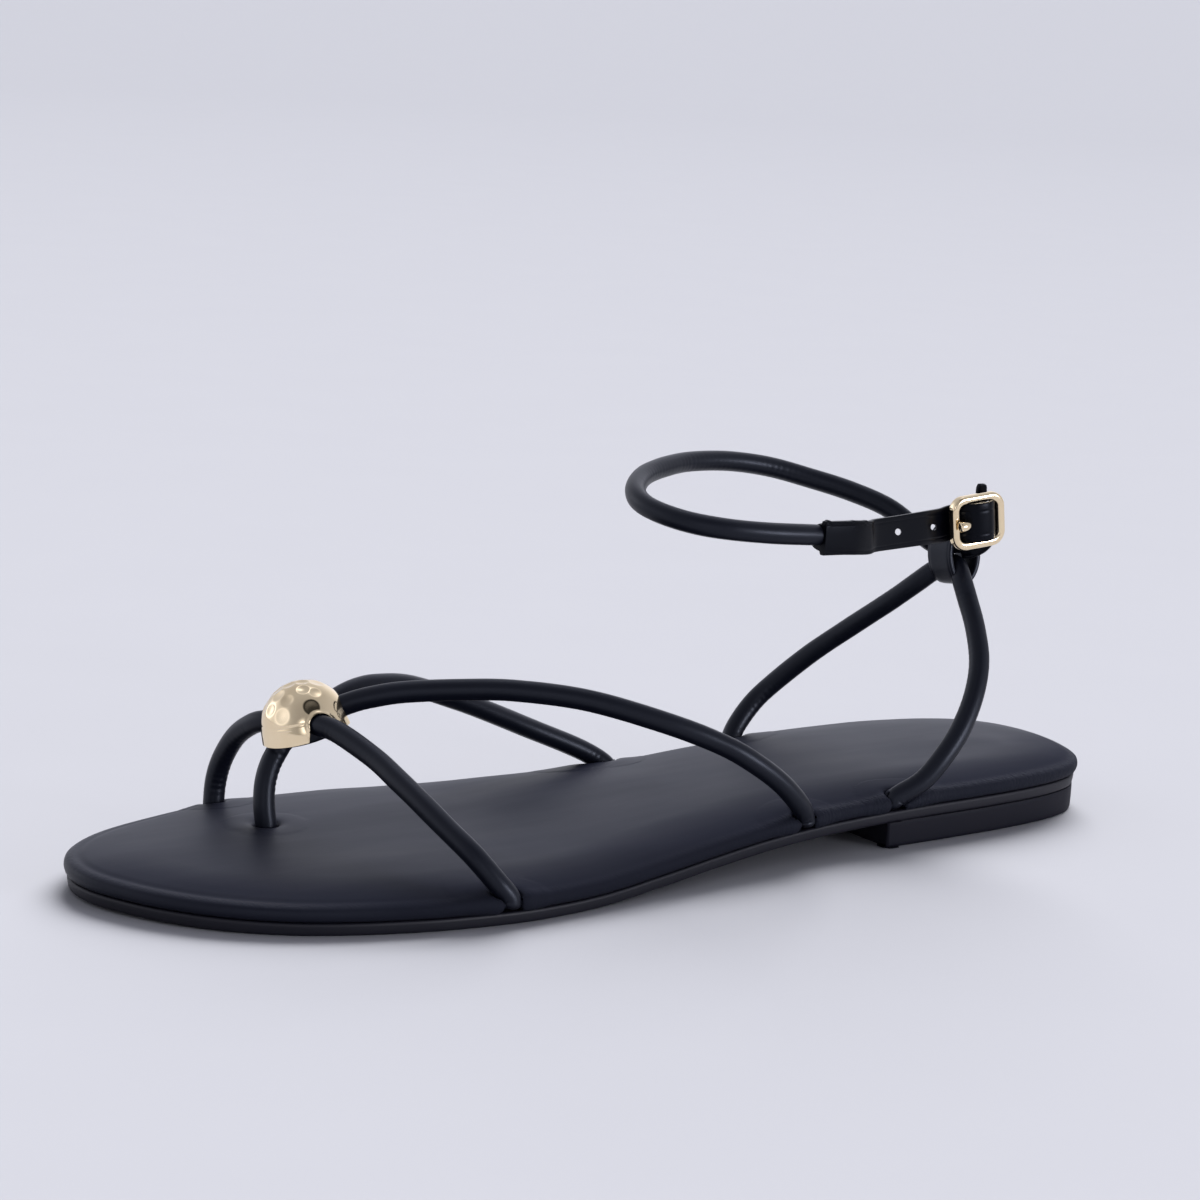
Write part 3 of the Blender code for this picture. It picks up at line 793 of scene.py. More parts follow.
class Route:
    """A smooth line through given points, with any numbers that go with each point."""

    FINE = 40
    EASE_WIDTH = 0.6

    def __init__(self, rows: Sequence[Row]) -> None:
        """Sample the curve finely.

        Args:
            rows: x, y, z in millimetres, then any other numbers.
        """
        table = np.asarray(rows, float)
        ends = np.vstack((2 * table[0] - table[1], table, 2 * table[-1] - table[-2]))
        t = np.linspace(0, 1, self.FINE, endpoint=False)[:, None]
        spans = []
        for a, b, c, d in zip(ends, ends[1:], ends[2:], ends[3:]):
            spans.append(0.5 * (2 * b + (c - a) * t + (2 * a - 5 * b + 4 * c - d) * t ** 2
                                + (3 * b - a - 3 * c + d) * t ** 3))
        self.fine = np.vstack(spans + [table[-1:]])
        self.travel = travelled(self.fine[:, :3])
        self.length = float(self.travel[-1])

    def even(self, count: int, ease_mm: float = 0.0) -> Points:
        """Rows at even steps along the line.

        Args:
            count: number of steps.
            ease_mm: width of a soft averaging that irons out small kinks.

        Returns:
            One row for each place, count + 1 in all.
        """
        where = np.linspace(0, self.length, count + 1)
        rows = sampled(self.fine, self.travel, where)
        reach = int(round(ease_mm / (self.length / count)))
        if reach < 1:
            return rows
        weights = bell(np.arange(-reach, reach + 1), self.EASE_WIDTH * reach)
        weights /= weights.sum()
        padded = np.vstack((2 * rows[0] - rows[reach:0:-1], rows, 2 * rows[-1] - rows[-2:-reach - 2:-1]))
        return np.stack([np.convolve(column, weights, "valid") for column in padded.T], axis=1)


def carried_frames(centres: Points, start: Row) -> tuple:
    """Carry a sideways direction along a line without twisting it.

    Args:
        centres: places along the line.
        start: a direction that the first sideways direction leans to.

    Returns:
        Sideways and upward directions at each place.
    """
    runs = unit(np.gradient(centres, axis=0))
    side = np.asarray(start, float)
    sideways = np.empty_like(centres)
    for i, run in enumerate(runs):
        side = side - run * side.dot(run)
        side = side / np.linalg.norm(side)
        sideways[i] = side
    return sideways, np.cross(runs, sideways)


# Sole


@dataclass(frozen=True)
class SoleShape:
    """The last's footprint and the bend of its sole."""

    outsole_thickness: float = 2.6
    footbed_gap: float = 0.3
    heel_reach: float = 0.8
    heel_reach_from: float = 45.0
    fine_steps: int = 1600
    crowd_more: float = 2.0
    crowd_width: float = 7.0
    # Share of the length, then outer and inner half width.
    outline_rows: tuple = (
        (0.00, 0.0, 0.0), (0.02, 16.0, 15.6), (0.05, 22.4, 22.3), (0.10, 26.2, 26.8),
        (0.16, 28.2, 28.6), (0.24, 29.6, 28.1), (0.32, 30.6, 26.5), (0.40, 32.6, 26.2),
        (0.48, 36.2, 29.4), (0.56, 40.4, 34.9), (0.64, 44.0, 40.6), (0.70, 45.3, 42.9),
        (0.76, 44.2, 43.1), (0.82, 41.0, 40.6), (0.88, 35.5, 35.8), (0.93, 27.4, 29.9),
        (0.97, 16.0, 21.8), (0.99, 6.4, 14.8), (1.00, -4.4, 4.4),
    )
    # Share of the length and height of the outsole's underside.
    lift_rows: tuple = (
        (0.00, 5.9), (0.22, 5.9), (0.34, 5.1), (0.44, 3.7), (0.54, 1.7),
        (0.62, 0.25), (0.66, 0.0), (0.86, 0.0), (1.00, 0.6),
    )

    def lift(self, x: Points) -> Points:
        """Height of the outsole's underside."""
        keys, values = zip(*self.lift_rows)
        return SmoothTable(keys, values)(np.asarray(x) / LENGTH)

    def outsole_top(self, x: Points) -> Points:
        """Height of the outsole's upper face."""
        return self.lift(x) + self.outsole_thickness

    def footbed_seat(self, x: Points) -> Points:
        """Height of the footbed's underside."""
        return self.outsole_top(x) + self.footbed_gap

    def outline(self, count: int, end_x: float = LENGTH, crowd: Sequence[Row] = ()) -> tuple:
        """Sample the footprint up its outer side and back along its inner side.

        Args:
            count: number of points.
            end_x: where the outline is cut straight across.
            crowd: places on the outline near which points lie closer.

        Returns:
            Points and inward directions.
        """
        along, outer, inner = (np.array(column) for column in zip(*self.outline_rows))
        keys = np.arccos(1 - 2 * along)
        turn = np.linspace(0, math.acos(1 - 2 * end_x / LENGTH), self.fine_steps)
        x = (1 - np.cos(turn)) / 2 * LENGTH
        x = x - self.heel_reach * ramp(x, self.heel_reach_from, 0.0) ** 2
        up = np.stack((x, SmoothTable(keys, outer)(turn)), axis=1)
        back = np.stack((x, -SmoothTable(keys, inner)(turn)), axis=1)[::-1]
        loop = np.vstack((up, back, up[:1]))
        weight = np.ones(len(loop) - 1)
        for place in crowd:
            weight += self.crowd_more * bell(np.linalg.norm(loop[:-1] - place, axis=1), self.crowd_width)
        travel = travelled(loop, weight)
        points = sampled(loop, travel, np.linspace(0, travel[-1], count, endpoint=False))
        return points, right_hand(points)


@dataclass
class Sole:
    """Outsole, heel block and padded footbed."""

    shape: SoleShape = field(default_factory=SoleShape)
    heel_breast_x: float = 71.0
    heel_inset: float = 0.95
    # Height and inset along each edge's profile, from below to above.
    footbed_edge: tuple = (
        (-0.08, 3.2), (-0.12, 1.7), (0.0, 0.80), (0.24, 0.42), (0.75, 0.15), (1.45, 0.0),
        (2.34, 0.18), (2.74, 0.62), (3.05, 1.40), (3.34, 2.60), (3.62, 4.00), (3.85, 5.40),
        (4.02, 6.60), (4.15, 7.60),
    )
    outsole_edge: tuple = (
        (0.0, 4.4), (0.0, 1.8), (0.04, 1.32), (0.22, 1.05), (0.80, 0.88), (1.60, 0.76), (2.32, 0.70),
        (2.54, 0.86), (2.60, 1.30), (2.60, 4.4),
    )
    heel_edge: tuple = (
        (0.0, 3.0), (0.0, 0.9), (0.08, 0.45), (0.35, 0.15), (1.0, 0.05), (3.2, 0.0), (5.6, 0.0),
        (5.82, 0.15), (5.86, 0.6), (5.86, 3.0),
    )
    # Points of the outline, faces up the edge and faces across each filling.
    footbed_faces: tuple = (760, 32, 106)
    outsole_faces: tuple = (520, 22, 80)
    heel_faces: tuple = (420, 24, 60)
    footbed_middle: float = 2.0
    outsole_middle: float = 1.3
    heel_middle: float = 2.8
    chart_points: int = 600
    strap_room: float = 2.42
    press_reach: float = 12.0
    press_step: float = 0.1
    deepest_press: float = 4.2
    pucker: float = 0.42
    pucker_width: float = 1.6
    pucker_ends: float = 4.0
    inner_cup: float = 0.7
    inner_rise: float = 0.4
    cup_along: tuple = (118.0, 68.0)
    cup_across: tuple = (12.0, -22.0)
    cup_height: float = 3.0
    crown: float = 1.2
    crown_reach: float = 22.0
    # Place, half length, half width and depth under heel, ball and toe post.
    hollows: tuple = (
        (38.0, 0.0, 30.0, 20.0, 0.30), (172.0, 3.0, 42.0, 32.0, 0.20), (199.9, -14.8, 4.5, 4.5, 1.1),
    )
    hollows_in: tuple = (7.65, 16.65)
    # Height, size and seed of each layer of the leather's uneven lie.
    uneven: tuple = ((0.10, 24.0, 0.0), (0.035, 9.0, 4.0))
    uneven_stretch: float = 0.5
    toe_crease: float = 0.16
    toe_crease_in: float = 2.9
    toe_crease_width: float = 0.8
    toe_crease_along: tuple = (190.0, 220.0)
    toe_crease_upward: float = 0.2
    rim_in: float = 1.3
    rim_width: float = 1.2
    rim_front: float = 0.2
    rim_along: tuple = (112.0, 87.0)
    border_in: tuple = (17.0, 3.0)
    border_across: tuple = (-8.0, 16.0)
    polish_in: float = 4.0
    polish_along: tuple = (200.0, 225.0)

    def band(self, name: str, edge: Sequence[Row], underside: Callable[[Points], Points],
             loop: tuple, rows: int) -> bpy.types.Object:
        """Wrap a sheet round the sole's edge, from below to above.

        Args:
            name: the piece's name.
            edge: height and inset rows of the edge's profile.
            underside: height of the layer's underside along the shoe.
            loop: outline points and inward directions.
            rows: faces across the sheet.

        Returns:
            The open band.
        """
        points, inward = loop
        count = len(points)
        profile = Route([(inset, height, 0.0) for height, inset in edge]).even(rows)

        def place(along: Points, across: Points) -> Points:
            """Lay the sheet's points on the edge.

            Args:
                along: row numbers of the points.
                across: their column numbers.

            Returns:
                Their places in metres.
            """
            ring = along % count
            flat = points[ring] + inward[ring] * profile[across, :1]
            height = underside(flat[:, 0]) + profile[across, 1]
            return to_model(np.column_stack((flat, height)))

        return rolled_grid(name, count, rows, place)

    def close(self, piece: bpy.types.Object, middle: Callable[[Points], Points], span: int) -> tuple:
        """Fill the band's upper and lower openings.

        Args:
            piece: the open band.
            middle: height that parts the two openings, along the shoe.
            span: faces along the short side of each filling.

        Returns:
            Numbers of the first point of each filling, upper then lower.
        """
        def above(place: Vector) -> bool:
            """Whether a place is on the upper opening."""
            return place.z / MM > middle(place.x / MM + LENGTH / 2)

        upper = fill_edge(piece, above, span)
        lower = fill_edge(piece, lambda place: not above(place), span)
        return upper, lower

    def press(self, piece: bpy.types.Object, line: Points) -> None:
        """Press a strap's room into the leather and raise soft puckers beside it.

        Args:
            piece: the footbed.
            line: the strap's centre line in metres, finely sampled.
        """
        points = read_points(piece)
        normals = read_normals(piece)
        margin = self.press_reach * MM
        reach = np.all((points > line.min(0) - margin) & (points < line.max(0) + margin), axis=1)
        near = np.flatnonzero(reach)
        moved = points[near]
        into = -normals[near]
        beside = (nearest(moved, line) / MM - self.strap_room) / self.pucker_width
        swell = np.where(beside > 0, beside * np.exp(1 - beside), 0.0) * self.pucker
        moved -= into * (swell * MM)[:, None] * (beside < self.pucker_ends)[:, None]
        for _ in range(int(self.deepest_press / self.press_step)):
            inside = nearest(moved, line) < self.strap_room * MM
            moved[inside] += into[inside] * self.press_step * MM
        points[near] = moved
        write_points(piece, points)

    def relief(self, x: Points, y: Points) -> Points:
        """Soft hollows under the foot and the uneven lie of the leather, in millimetres.

        Args:
            x: places along the shoe.
            y: places across it.

        Returns:
            Each place's height.
        """
        flat = np.column_stack((x * self.uneven_stretch, y, np.zeros_like(x)))
        found = sum(height * wobble(flat, size, seed) for height, size, seed in self.uneven)
        for centre_x, centre_y, half_length, half_width, depth in self.hollows:
            away = np.hypot((x - centre_x) / half_length, (y - centre_y) / half_width)
            found = found - depth * bell(away, 1.0)
        return found

    def cup(self, x: Points, y: Points, z: Points) -> Points:
        """How far the pad rises to the inner side of the heel seat, in millimetres.

        Args:
            x: places along the shoe.
            y: places across it.
            z: their heights so far.

        Returns:
            Each place's rise.
        """
        back = eased(ramp(x, *self.cup_along))
        inner = eased(ramp(y, *self.cup_across))
        above = ramp(z - self.shape.footbed_seat(x), 0.0, self.cup_height)
        return (self.inner_cup * back + self.inner_rise) * inner * above

    def build_footbed(self, straps: Sequence[Points]) -> bpy.types.Object:
        """Build the padded footbed, pressed in by the straps.

        Args:
            straps: centre lines of the tucked strap ends, in metres.

        Returns:
            The footbed.
        """
        count, rows, span = self.footbed_faces
        loop = self.shape.outline(count, crowd=[to_maker(line[-1])[:2] for line in straps])
        piece = self.band("footbed_pad", self.footbed_edge, self.shape.footbed_seat, loop, rows)
        upper, lower = self.close(piece, lambda x: self.shape.footbed_seat(x) + self.footbed_middle, span)
        self.shape_top(piece, np.arange(upper, lower))
        self.crease_toe(piece)
        for line in straps:
            self.press(piece, line)
        self.mark_edges(piece)
        smooth_shade(piece, degrees=70.0)
        return piece

    def shape_top(self, piece: bpy.types.Object, top: Points) -> None:
        """Dome the pad, let its hollows in and cup its inner side.

        Args:
            piece: the footbed.
            top: numbers of the points that fill its upper opening.
        """
        places = to_maker(read_points(piece))
        x, y = places[top, 0], places[top, 1]
        height, inset = self.footbed_edge[-1]
        depth = self.depth_in(x, y)
        dome = self.crown * (1 - (1 - ramp(depth, inset, inset + self.crown_reach)) ** 2)
        hollow = eased(ramp(depth, *self.hollows_in)) * self.relief(x, y)
        places[top, 2] = self.shape.footbed_seat(x) + height + dome + hollow
        places[:, 2] += self.cup(*places.T)
        write_points(piece, to_model(places))

    def crease_toe(self, piece: bpy.types.Object) -> None:
        """Draw in the leather along the toe, just above its rounded edge.

        Args:
            piece: the footbed.
        """
        points = read_points(piece)
        normals = read_normals(piece)
        x, y, _ = to_maker(points).T
        pull = self.toe_crease * bell(self.depth_in(x, y) - self.toe_crease_in, self.toe_crease_width)
        pull = pull * ramp(x, *self.toe_crease_along) * (normals[:, 2] > self.toe_crease_upward)
        write_points(piece, points - normals * (pull * MM)[:, None])

    def mark_edges(self, piece: bpy.types.Object) -> None:
        """Store where the leather is wrapped over the edge and where its border is matte.

        Args:
            piece: the footbed.
        """
        x, y, _ = to_maker(read_points(piece)).T
        depth = self.depth_in(x, y)
        along = self.rim_front + (1 - self.rim_front) * ramp(x, *self.rim_along)
        store(piece, FootbedLeather.rim_attribute, bell(depth - self.rim_in, self.rim_width) * along)
        polished = ramp(x, *self.polish_along) * bell(depth, self.polish_in)
        border = ramp(depth, *self.border_in) * ramp(y, *self.border_across)
        store(piece, FootbedLeather.border_attribute, border * (1 - polished))

    def depth_in(self, x: Points, y: Points) -> Points:
        """Distance inwards from the outline, in millimetres."""
        return nearest(np.column_stack((x, y)), self.shape.outline(self.chart_points)[0])

    def build_outsole(self) -> bpy.types.Object:
        """Build the thin outsole with its lip.

        Returns:
            The outsole.
        """
        count, rows, span = self.outsole_faces
        loop = self.shape.outline(count)
        piece = self.band("outsole_layer", self.outsole_edge, self.shape.lift, loop, rows)
        self.close(piece, lambda x: self.shape.lift(x) + self.outsole_middle, span)
        smooth_shade(piece, degrees=50.0)
        return piece

    def build_heel(self) -> bpy.types.Object:
        """Build the heel block with its rounded edges and upright breast.

        Returns:
            The heel block.
        """
        count, rows, span = self.heel_faces
        points, inward = self.shape.outline(count, end_x=self.heel_breast_x)
        loop = (points + inward * self.heel_inset, inward)
        piece = self.band("heel_block_body", self.heel_edge, np.zeros_like, loop, rows)
        self.close(piece, lambda x: self.heel_middle, span)
        smooth_shade(piece, degrees=50.0)
        return piece

    def make(self, dresser: Dresser, straps: Sequence[Points]) -> None:
        """Build and dress the sole's layers.

        Args:
            dresser: gives the finishes.
            straps: centre lines of the tucked strap ends, in metres.
        """
        dresser.dress(self.build_outsole(), Rubber("outsole_rubber", specular=0.32), Slot.SOLE, "outsole")
        dresser.dress(self.build_heel(), Rubber("heel_rubber", roughness=0.62), Slot.SOLE, "heel_block")
        footbed = dresser.dress(self.build_footbed(straps), FootbedLeather(), Slot.FOOTBED, "footbed")


# Straps


KNOT = (191.8, -15.0, 29.3)


@dataclass
class RoundStrap:
    """A filled leather tube: a sheet rolled round a core, its seam lightly sunk."""

    name: str
    points: tuple
    end_tuck: Optional[tuple] = None
    start_tuck: Optional[tuple] = None
    tuck_clear: float = 0.5
    tuck_rise: float = 2.2
    seam_turn: float = 200.0
    side: tuple = UP
    radius: float = 2.25
    row_mm: float = 0.34
    line_mm: float = 0.25
    ease_mm: float = 1.6
    girth: int = 44
    end_round: float = 1.2
    seam_depth: float = 0.20
    seam_width: float = 0.13
    seam_lips: float = 0.4
    uneven: float = 0.018
    uneven_mm: float = 7.0
    bend_wrinkle: float = 0.9
    tightest_bend: float = 0.14
    wrinkle_mm: float = 1.5
    stagger: float = 2.2
    stagger_mm: float = 2.6
    fading: float = 0.4
    fading_mm: float = 4.0
    seed: float = 1.0

    def rows(self, shape: SoleShape) -> list:
        """All points of the route with its tucked ends."""
        start = self.tuck_rows(shape, self.start_tuck)[::-1]
        return start + list(self.points) + self.tuck_rows(shape, self.end_tuck)

    def tuck_rows(self, shape: SoleShape, place: Optional[Row]) -> list:
        """End points of a strap that goes upright between footbed and outsole, if it does.

        Args:
            shape: the sole.
            place: where the strap goes in, if it does.

        Returns:
            The upper and the lower point, or none.
        """
        if place is None:
            return []
        seat = float(shape.outsole_top(np.array(place[0]))) + self.tuck_clear
        return [(*place, seat + self.tuck_rise), (*place, seat)]

    def line(self, shape: SoleShape) -> Points:
        """The centre line in metres, finely sampled."""
        route = Route(self.rows(shape))
        return to_model(route.even(int(route.length / self.line_mm), self.ease_mm))

    def crinkle(self, centres: Points, travel: Points) -> Points:
        """Broken wrinkles across the strap, about -1 to 1, for the inside of its bends.

        Args:
            centres: places along the strap.
            travel: their distance from its start.

        Returns:
            One height for each place.
        """
        stagger = self.stagger * wobble(centres, self.stagger_mm, self.seed + 5)
        strength = 1 - self.fading + self.fading * wobble(centres, self.fading_mm, self.seed + 9)
        return np.sin(math.tau * travel / self.wrinkle_mm + stagger) * strength

    def build(self, shape: SoleShape) -> bpy.types.Object:
        """Roll the strap's leather round its route.

        Args:
            shape: the sole that the strap is tucked into.

        Returns:
            The strap.
        """
        route = Route(self.rows(shape))
        count = int(route.length / self.row_mm)
        centres = route.even(count, self.ease_mm)
        sideways, upward = carried_frames(centres, self.side)
        step = route.length / count
        bend = np.gradient(unit(np.gradient(centres, axis=0)), axis=0) / step
        travel = np.arange(count + 1) * step
        ends = rounded_ends(travel, route.length, self.end_round)
        swell = 1 + self.uneven * wobble(centres, self.uneven_mm, self.seed)
        crinkle = self.crinkle(centres, travel)

        def place(along: Points, across: Points) -> Points:
            """Lay the sheet's points round the core.

            Args:
                along: row numbers of the points.
                across: their column numbers.

            Returns:
                Their places in metres.
            """
            turn = rolled_turn(across, self.girth)
            around = turn - math.radians(self.seam_turn)
            around = np.abs(np.arctan2(np.sin(around), np.cos(around)))
            out = sideways[along] * np.cos(turn)[:, None] + upward[along] * np.sin(turn)[:, None]
            inner = np.einsum("ij,ij->i", out, bend[along])
            lips = bell(around - 3 * self.seam_width, 2 * self.seam_width)
            radius = self.radius * swell[along]
            radius += self.seam_depth * (self.seam_lips * lips - bell(around, self.seam_width))
            radius += self.bend_wrinkle * np.clip(inner, 0, self.tightest_bend) * crinkle[along]
            return to_model(centres[along] + out * (radius * ends[along])[:, None])

        piece = rolled_grid(self.name, count, self.girth, place,
                            (route.length, math.tau * self.radius))
        smooth_shade(piece, degrees=70.0)
        return piece


FRONT_STRAPS = (
    RoundStrap("toe_strap", (
        KNOT, (196.0, -24.0, 27.8), (197.0, -29.0, 25.7), (197.6, -34.0, 22.1), (198.2, -38.2, 16.5),
        (198.7, -39.9, 11.2)), end_tuck=(199.2, -39.7), seam_turn=120.0, seed=2.0),
    RoundStrap("toe_post", (
        KNOT, (194.6, -17.0, 25.8), (196.3, -17.5, 23.0), (198.1, -17.2, 20.2), (199.6, -16.4, 16.6),
        (200.2, -15.5, 12.3), (199.9, -14.8, 7.5), (199.9, -14.8, 4.3)), seam_turn=150.0,
        bend_wrinkle=1.5, seed=3.0),
    RoundStrap("ball_strap", (
        KNOT, (192.9, -8.0, 30.4), (191.1, -2.0, 29.9), (188.7, 9.0, 26.8), (187.7, 17.0, 24.0),
        (186.6, 25.0, 20.9), (185.1, 32.0, 17.5), (182.8, 38.8, 13.5), (179.5, 42.6, 8.6)),
        end_tuck=(176.9, 43.6), seam_turn=205.0, seed=4.0),
    RoundStrap("inner_instep_strap", (
        KNOT, (183.1, -17.0, 33.0), (177.2, -18.6, 34.4), (171.1, -20.3, 34.4), (161.3, -23.0, 32.7),
        (146.7, -26.4, 27.4), (136.5, -28.0, 23.2), (126.6, -28.8, 18.9), (116.1, -28.2, 14.4),
        (110.6, -27.2, 11.6)), end_tuck=(107.6, -25.6), seam_turn=180.0, seed=5.0),
    RoundStrap("outer_instep_strap", (
        KNOT, (184.3, -10.0, 33.6), (179.3, -7.0, 35.4), (173.6, -4.0, 36.5), (163.3, 2.0, 37.4),
        (154.3, 8.0, 37.7), (141.9, 16.6, 36.4), (127.2, 25.0, 32.0), (116.4, 29.2, 27.6),
        (109.6, 31.2, 23.7), (102.6, 32.0, 18.7), (97.0, 31.7, 13.3)), end_tuck=(94.6, 30.6),
        seam_turn=190.0, seed=6.0),
)
HEEL_STRAP = RoundStrap("heel_strap_tube", (
    (71.6, -26.9, 14.4), (66.8, -27.5, 19.6), (62.6, -25.8, 24.3), (56.4, -20.0, 32.3),
    (50.8, -13.0, 39.6), (46.1, -5.0, 46.9), (43.2, -0.2, 51.6), (40.8, 3.4, 55.3), (39.2, 5.8, 57.1),
    (38.8, 7.6, 57.5), (39.2, 9.6, 57.0), (39.8, 11.8, 55.0), (40.0, 14.6, 50.8), (41.3, 19.5, 45.2),
    (43.7, 24.5, 38.7), (47.5, 28.0, 32.3), (52.5, 30.2, 25.5), (57.7, 30.8, 19.6), (62.6, 30.2, 14.6)),
    end_tuck=(68.3, 28.4), start_tuck=(74.0, -25.4), seam_turn=250.0, side=(1.0, 0.0, 0.0), seed=7.0)
ANKLE_STRAP = RoundStrap("ankle_strap_tube", (
    (37.4, 12.8, 63.4), (37.7, 10.5, 62.7), (38.3, 7.4, 62.2), (40.8, 3.6, 61.3), (44.4, 0.0, 64.5),
    (48.6, -5.0, 68.7), (54.2, -12.0, 71.6), (61.2, -18.0, 73.9), (70.1, -21.8, 76.3), (80.8, -22.8, 77.9),
    (92.0, -21.4, 78.5), (101.0, -18.0, 78.4), (110.0, -13.0, 77.8), (116.4, -7.2, 76.8),
    (120.6, -1.2, 75.7), (122.2, 4.8, 74.5), (121.0, 10.8, 73.4), (117.2, 16.0, 72.3), (111.0, 20.0, 71.4),
    (102.0, 22.2, 70.5), (91.7, 22.9, 69.7), (80.8, 22.6, 68.8)), seam_turn=150.0, seed=8.0)


@dataclass
class Straps:
    """The round straps that are the sandal's upper."""

    shape: SoleShape = field(default_factory=SoleShape)
    leather: Leather = Leather("strap_leather")
    tucked: int = 90

    def tucked_lines(self) -> list:
        """Centre lines of all strap ends that go down into the footbed, in metres.

        Returns:
            One line for each end, with its lowest point last.
        """
        lines = [strap.line(self.shape)[-self.tucked:] for strap in FRONT_STRAPS]
        heel = HEEL_STRAP.line(self.shape)
        return lines + [heel[-self.tucked:], heel[:self.tucked][::-1]]

    def make(self, dresser: Dresser) -> None:
        """Roll and dress every round strap.

        Args:
            dresser: gives the finishes.
        """
        for strap in FRONT_STRAPS:
            dresser.dress(strap.build(self.shape), self.leather, Slot.STRAP, "front_straps")
        dresser.dress(HEEL_STRAP.build(self.shape), self.leather, Slot.STRAP, "heel_strap")
        dresser.dress(ANKLE_STRAP.build(self.shape), self.leather, Slot.STRAP, "ankle_strap")


# Bead


@dataclass
class Bead:
    """A metal dome with hammered dents above a smooth band, open below, arched where straps leave."""

    centre: tuple = (191.5, -14.7, 28.9)
    radius: float = 9.2
    wall: float = 0.8
    band: float = 1.5
    band_rows: int = 6
    tilt_to_toe: float = 17.0
    tilt_to_inside: float = 6.0
    segments: int = 192
    rings: int = 144
    # Slope from the top, turn and reach in degrees, and depth.
    seen_dents: tuple = (
        (50.0, 7.0, 9.5, 0.34), (37.0, 43.0, 9.5, 0.36), (26.0, 88.0, 9.0, 0.32), (59.0, 34.0, 11.0, 0.30),
        (40.0, 106.0, 8.5, 0.20), (48.0, 121.0, 8.0, 0.0), (58.0, 56.0, 9.5, 0.03), (60.0, 112.0, 8.0, 0.0),
    )
    other_dents: int = 40
    other_reach: tuple = (8.5, 11.0)
    other_depth: tuple = (0.2, 0.3)
    other_wander: float = 6.0
    lowest_dent: float = 64.0
    apart: float = 15.0
    dent_power: float = 1.15
    groove_height: float = 2.3
    groove_depth: float = 0.09
    groove_width: float = 0.3
    groove_side: tuple = (0.9, 0.4, 0.0)
    groove_fade: tuple = (0.3, 0.6)
    flare: float = 0.16
    flare_height: float = 1.6
    exit_steps: int = 70
    exit_girth: int = 48
    exit_stride: int = 3
    strap_room: float = 2.5
    rear_room: float = 5.9
    lip_rise: float = 0.36
    lip_width: float = 0.36
    lip_clear: float = 0.1
    lip_stride: int = 4
    arch_drop: float = 9.0
    arch_steep: float = 2.0
    wall_steep: float = 2.2
    merge: float = 0.06
    sliver: float = 0.01
    pad_radius: float = 8.25
    pad_height: float = 2.4
    pad_below: float = 0.75
    pad_girth: int = 96
    pad_round: float = 0.55
    seed: int = 11

    def stand(self) -> Matrix:
        """The dome's place and turn.

        Returns:
            The matrix from the dome's own axes to the model's.
        """
        return (Matrix.Translation(to_model(self.centre))
                @ Matrix.Rotation(math.radians(self.tilt_to_toe), 4, "Y")
                @ Matrix.Rotation(math.radians(self.tilt_to_inside), 4, "X"))

    def shell(self) -> bpy.types.Object:
        """Model the dome from a sphere: cut below its middle, its band drawn down.

        Returns:
            The open dome, upright at the origin.
        """
        bpy.ops.object.select_all(action="DESELECT")
        bpy.ops.mesh.primitive_uv_sphere_add(segments=self.segments, ring_count=self.rings,
                                             radius=self.radius * MM)
        piece = just_added("hammered_bead")
        with editing(piece):
            bpy.ops.mesh.bisect(plane_co=(0, 0, 0), plane_no=UP, clear_inner=True, use_fill=False)
            for _ in range(self.band_rows):
                select_open_edges(piece, lambda place: True)
                bpy.ops.mesh.extrude_edges_move(
                    TRANSFORM_OT_translate={"value": (0, 0, -self.band * MM / self.band_rows)})
            bpy.ops.mesh.select_all(action="SELECT")
            bpy.ops.mesh.normals_make_consistent(inside=False)
        return piece

    def dent_chart(self) -> list:
        """All dents: those listed one by one, and others spread over the rest of the dome.

        Returns:
            Unit direction, reach in radians and depth in millimetres of each dent.
        """
        chance = np.random.default_rng(self.seed)
        rows = list(self.seen_dents)
        cap = 1 - math.cos(math.radians(self.lowest_dent))
        for i in range(self.other_dents):
            slope = math.degrees(math.acos(1 - (i + 0.5) / self.other_dents * cap))
            turn = math.degrees(i * GOLDEN_TURN) + chance.normal(0.0, self.other_wander)
            rows.append((slope, turn, chance.uniform(*self.other_reach), chance.uniform(*self.other_depth)))
        chart: list = []
        for slope, turn, reach, depth in rows:
            a, b = math.radians(slope), math.radians(turn)
            way = np.array((math.sin(a) * math.cos(b), math.sin(a) * math.sin(b), math.cos(a)))
            charted = len(chart) < len(self.seen_dents)
            if charted or all(way @ other < math.cos(math.radians(self.apart)) for other, _, _ in chart):
                chart.append((way, math.radians(reach), depth))
        return chart

    def hammer(self, piece: bpy.types.Object) -> None:
        """Beat the dents into the dome and score the line above its smooth band.

        Args:
            piece: the dome in its place.
        """
        stand = np.array(self.stand())
        points = (read_points(piece) - stand[:3, 3]) @ stand[:3, :3]
        out = unit(points)
        depth = np.zeros(len(points))
        for way, reach, deep in self.dent_chart():
            away = np.arccos(np.clip(out @ way, -1, 1)) / reach
            depth = np.maximum(depth, deep * np.clip(1 - away ** 2, 0, 1) ** self.dent_power)
        groove = self.groove_depth * bell(points[:, 2] / MM - self.groove_height, self.groove_width)
        depth += groove * ramp(out @ self.groove_side, *self.groove_fade)
        points = points - out * (depth * MM)[:, None]
        level = unit(points * (1.0, 1.0, 0.0) + (1e-9, 0.0, 0.0))
        points += level * (self.flare * np.clip(self.flare_height * MM - points[:, 2], 0, None))[:, None]
        write_points(piece, points @ stand[:3, :3].T + stand[:3, 3])

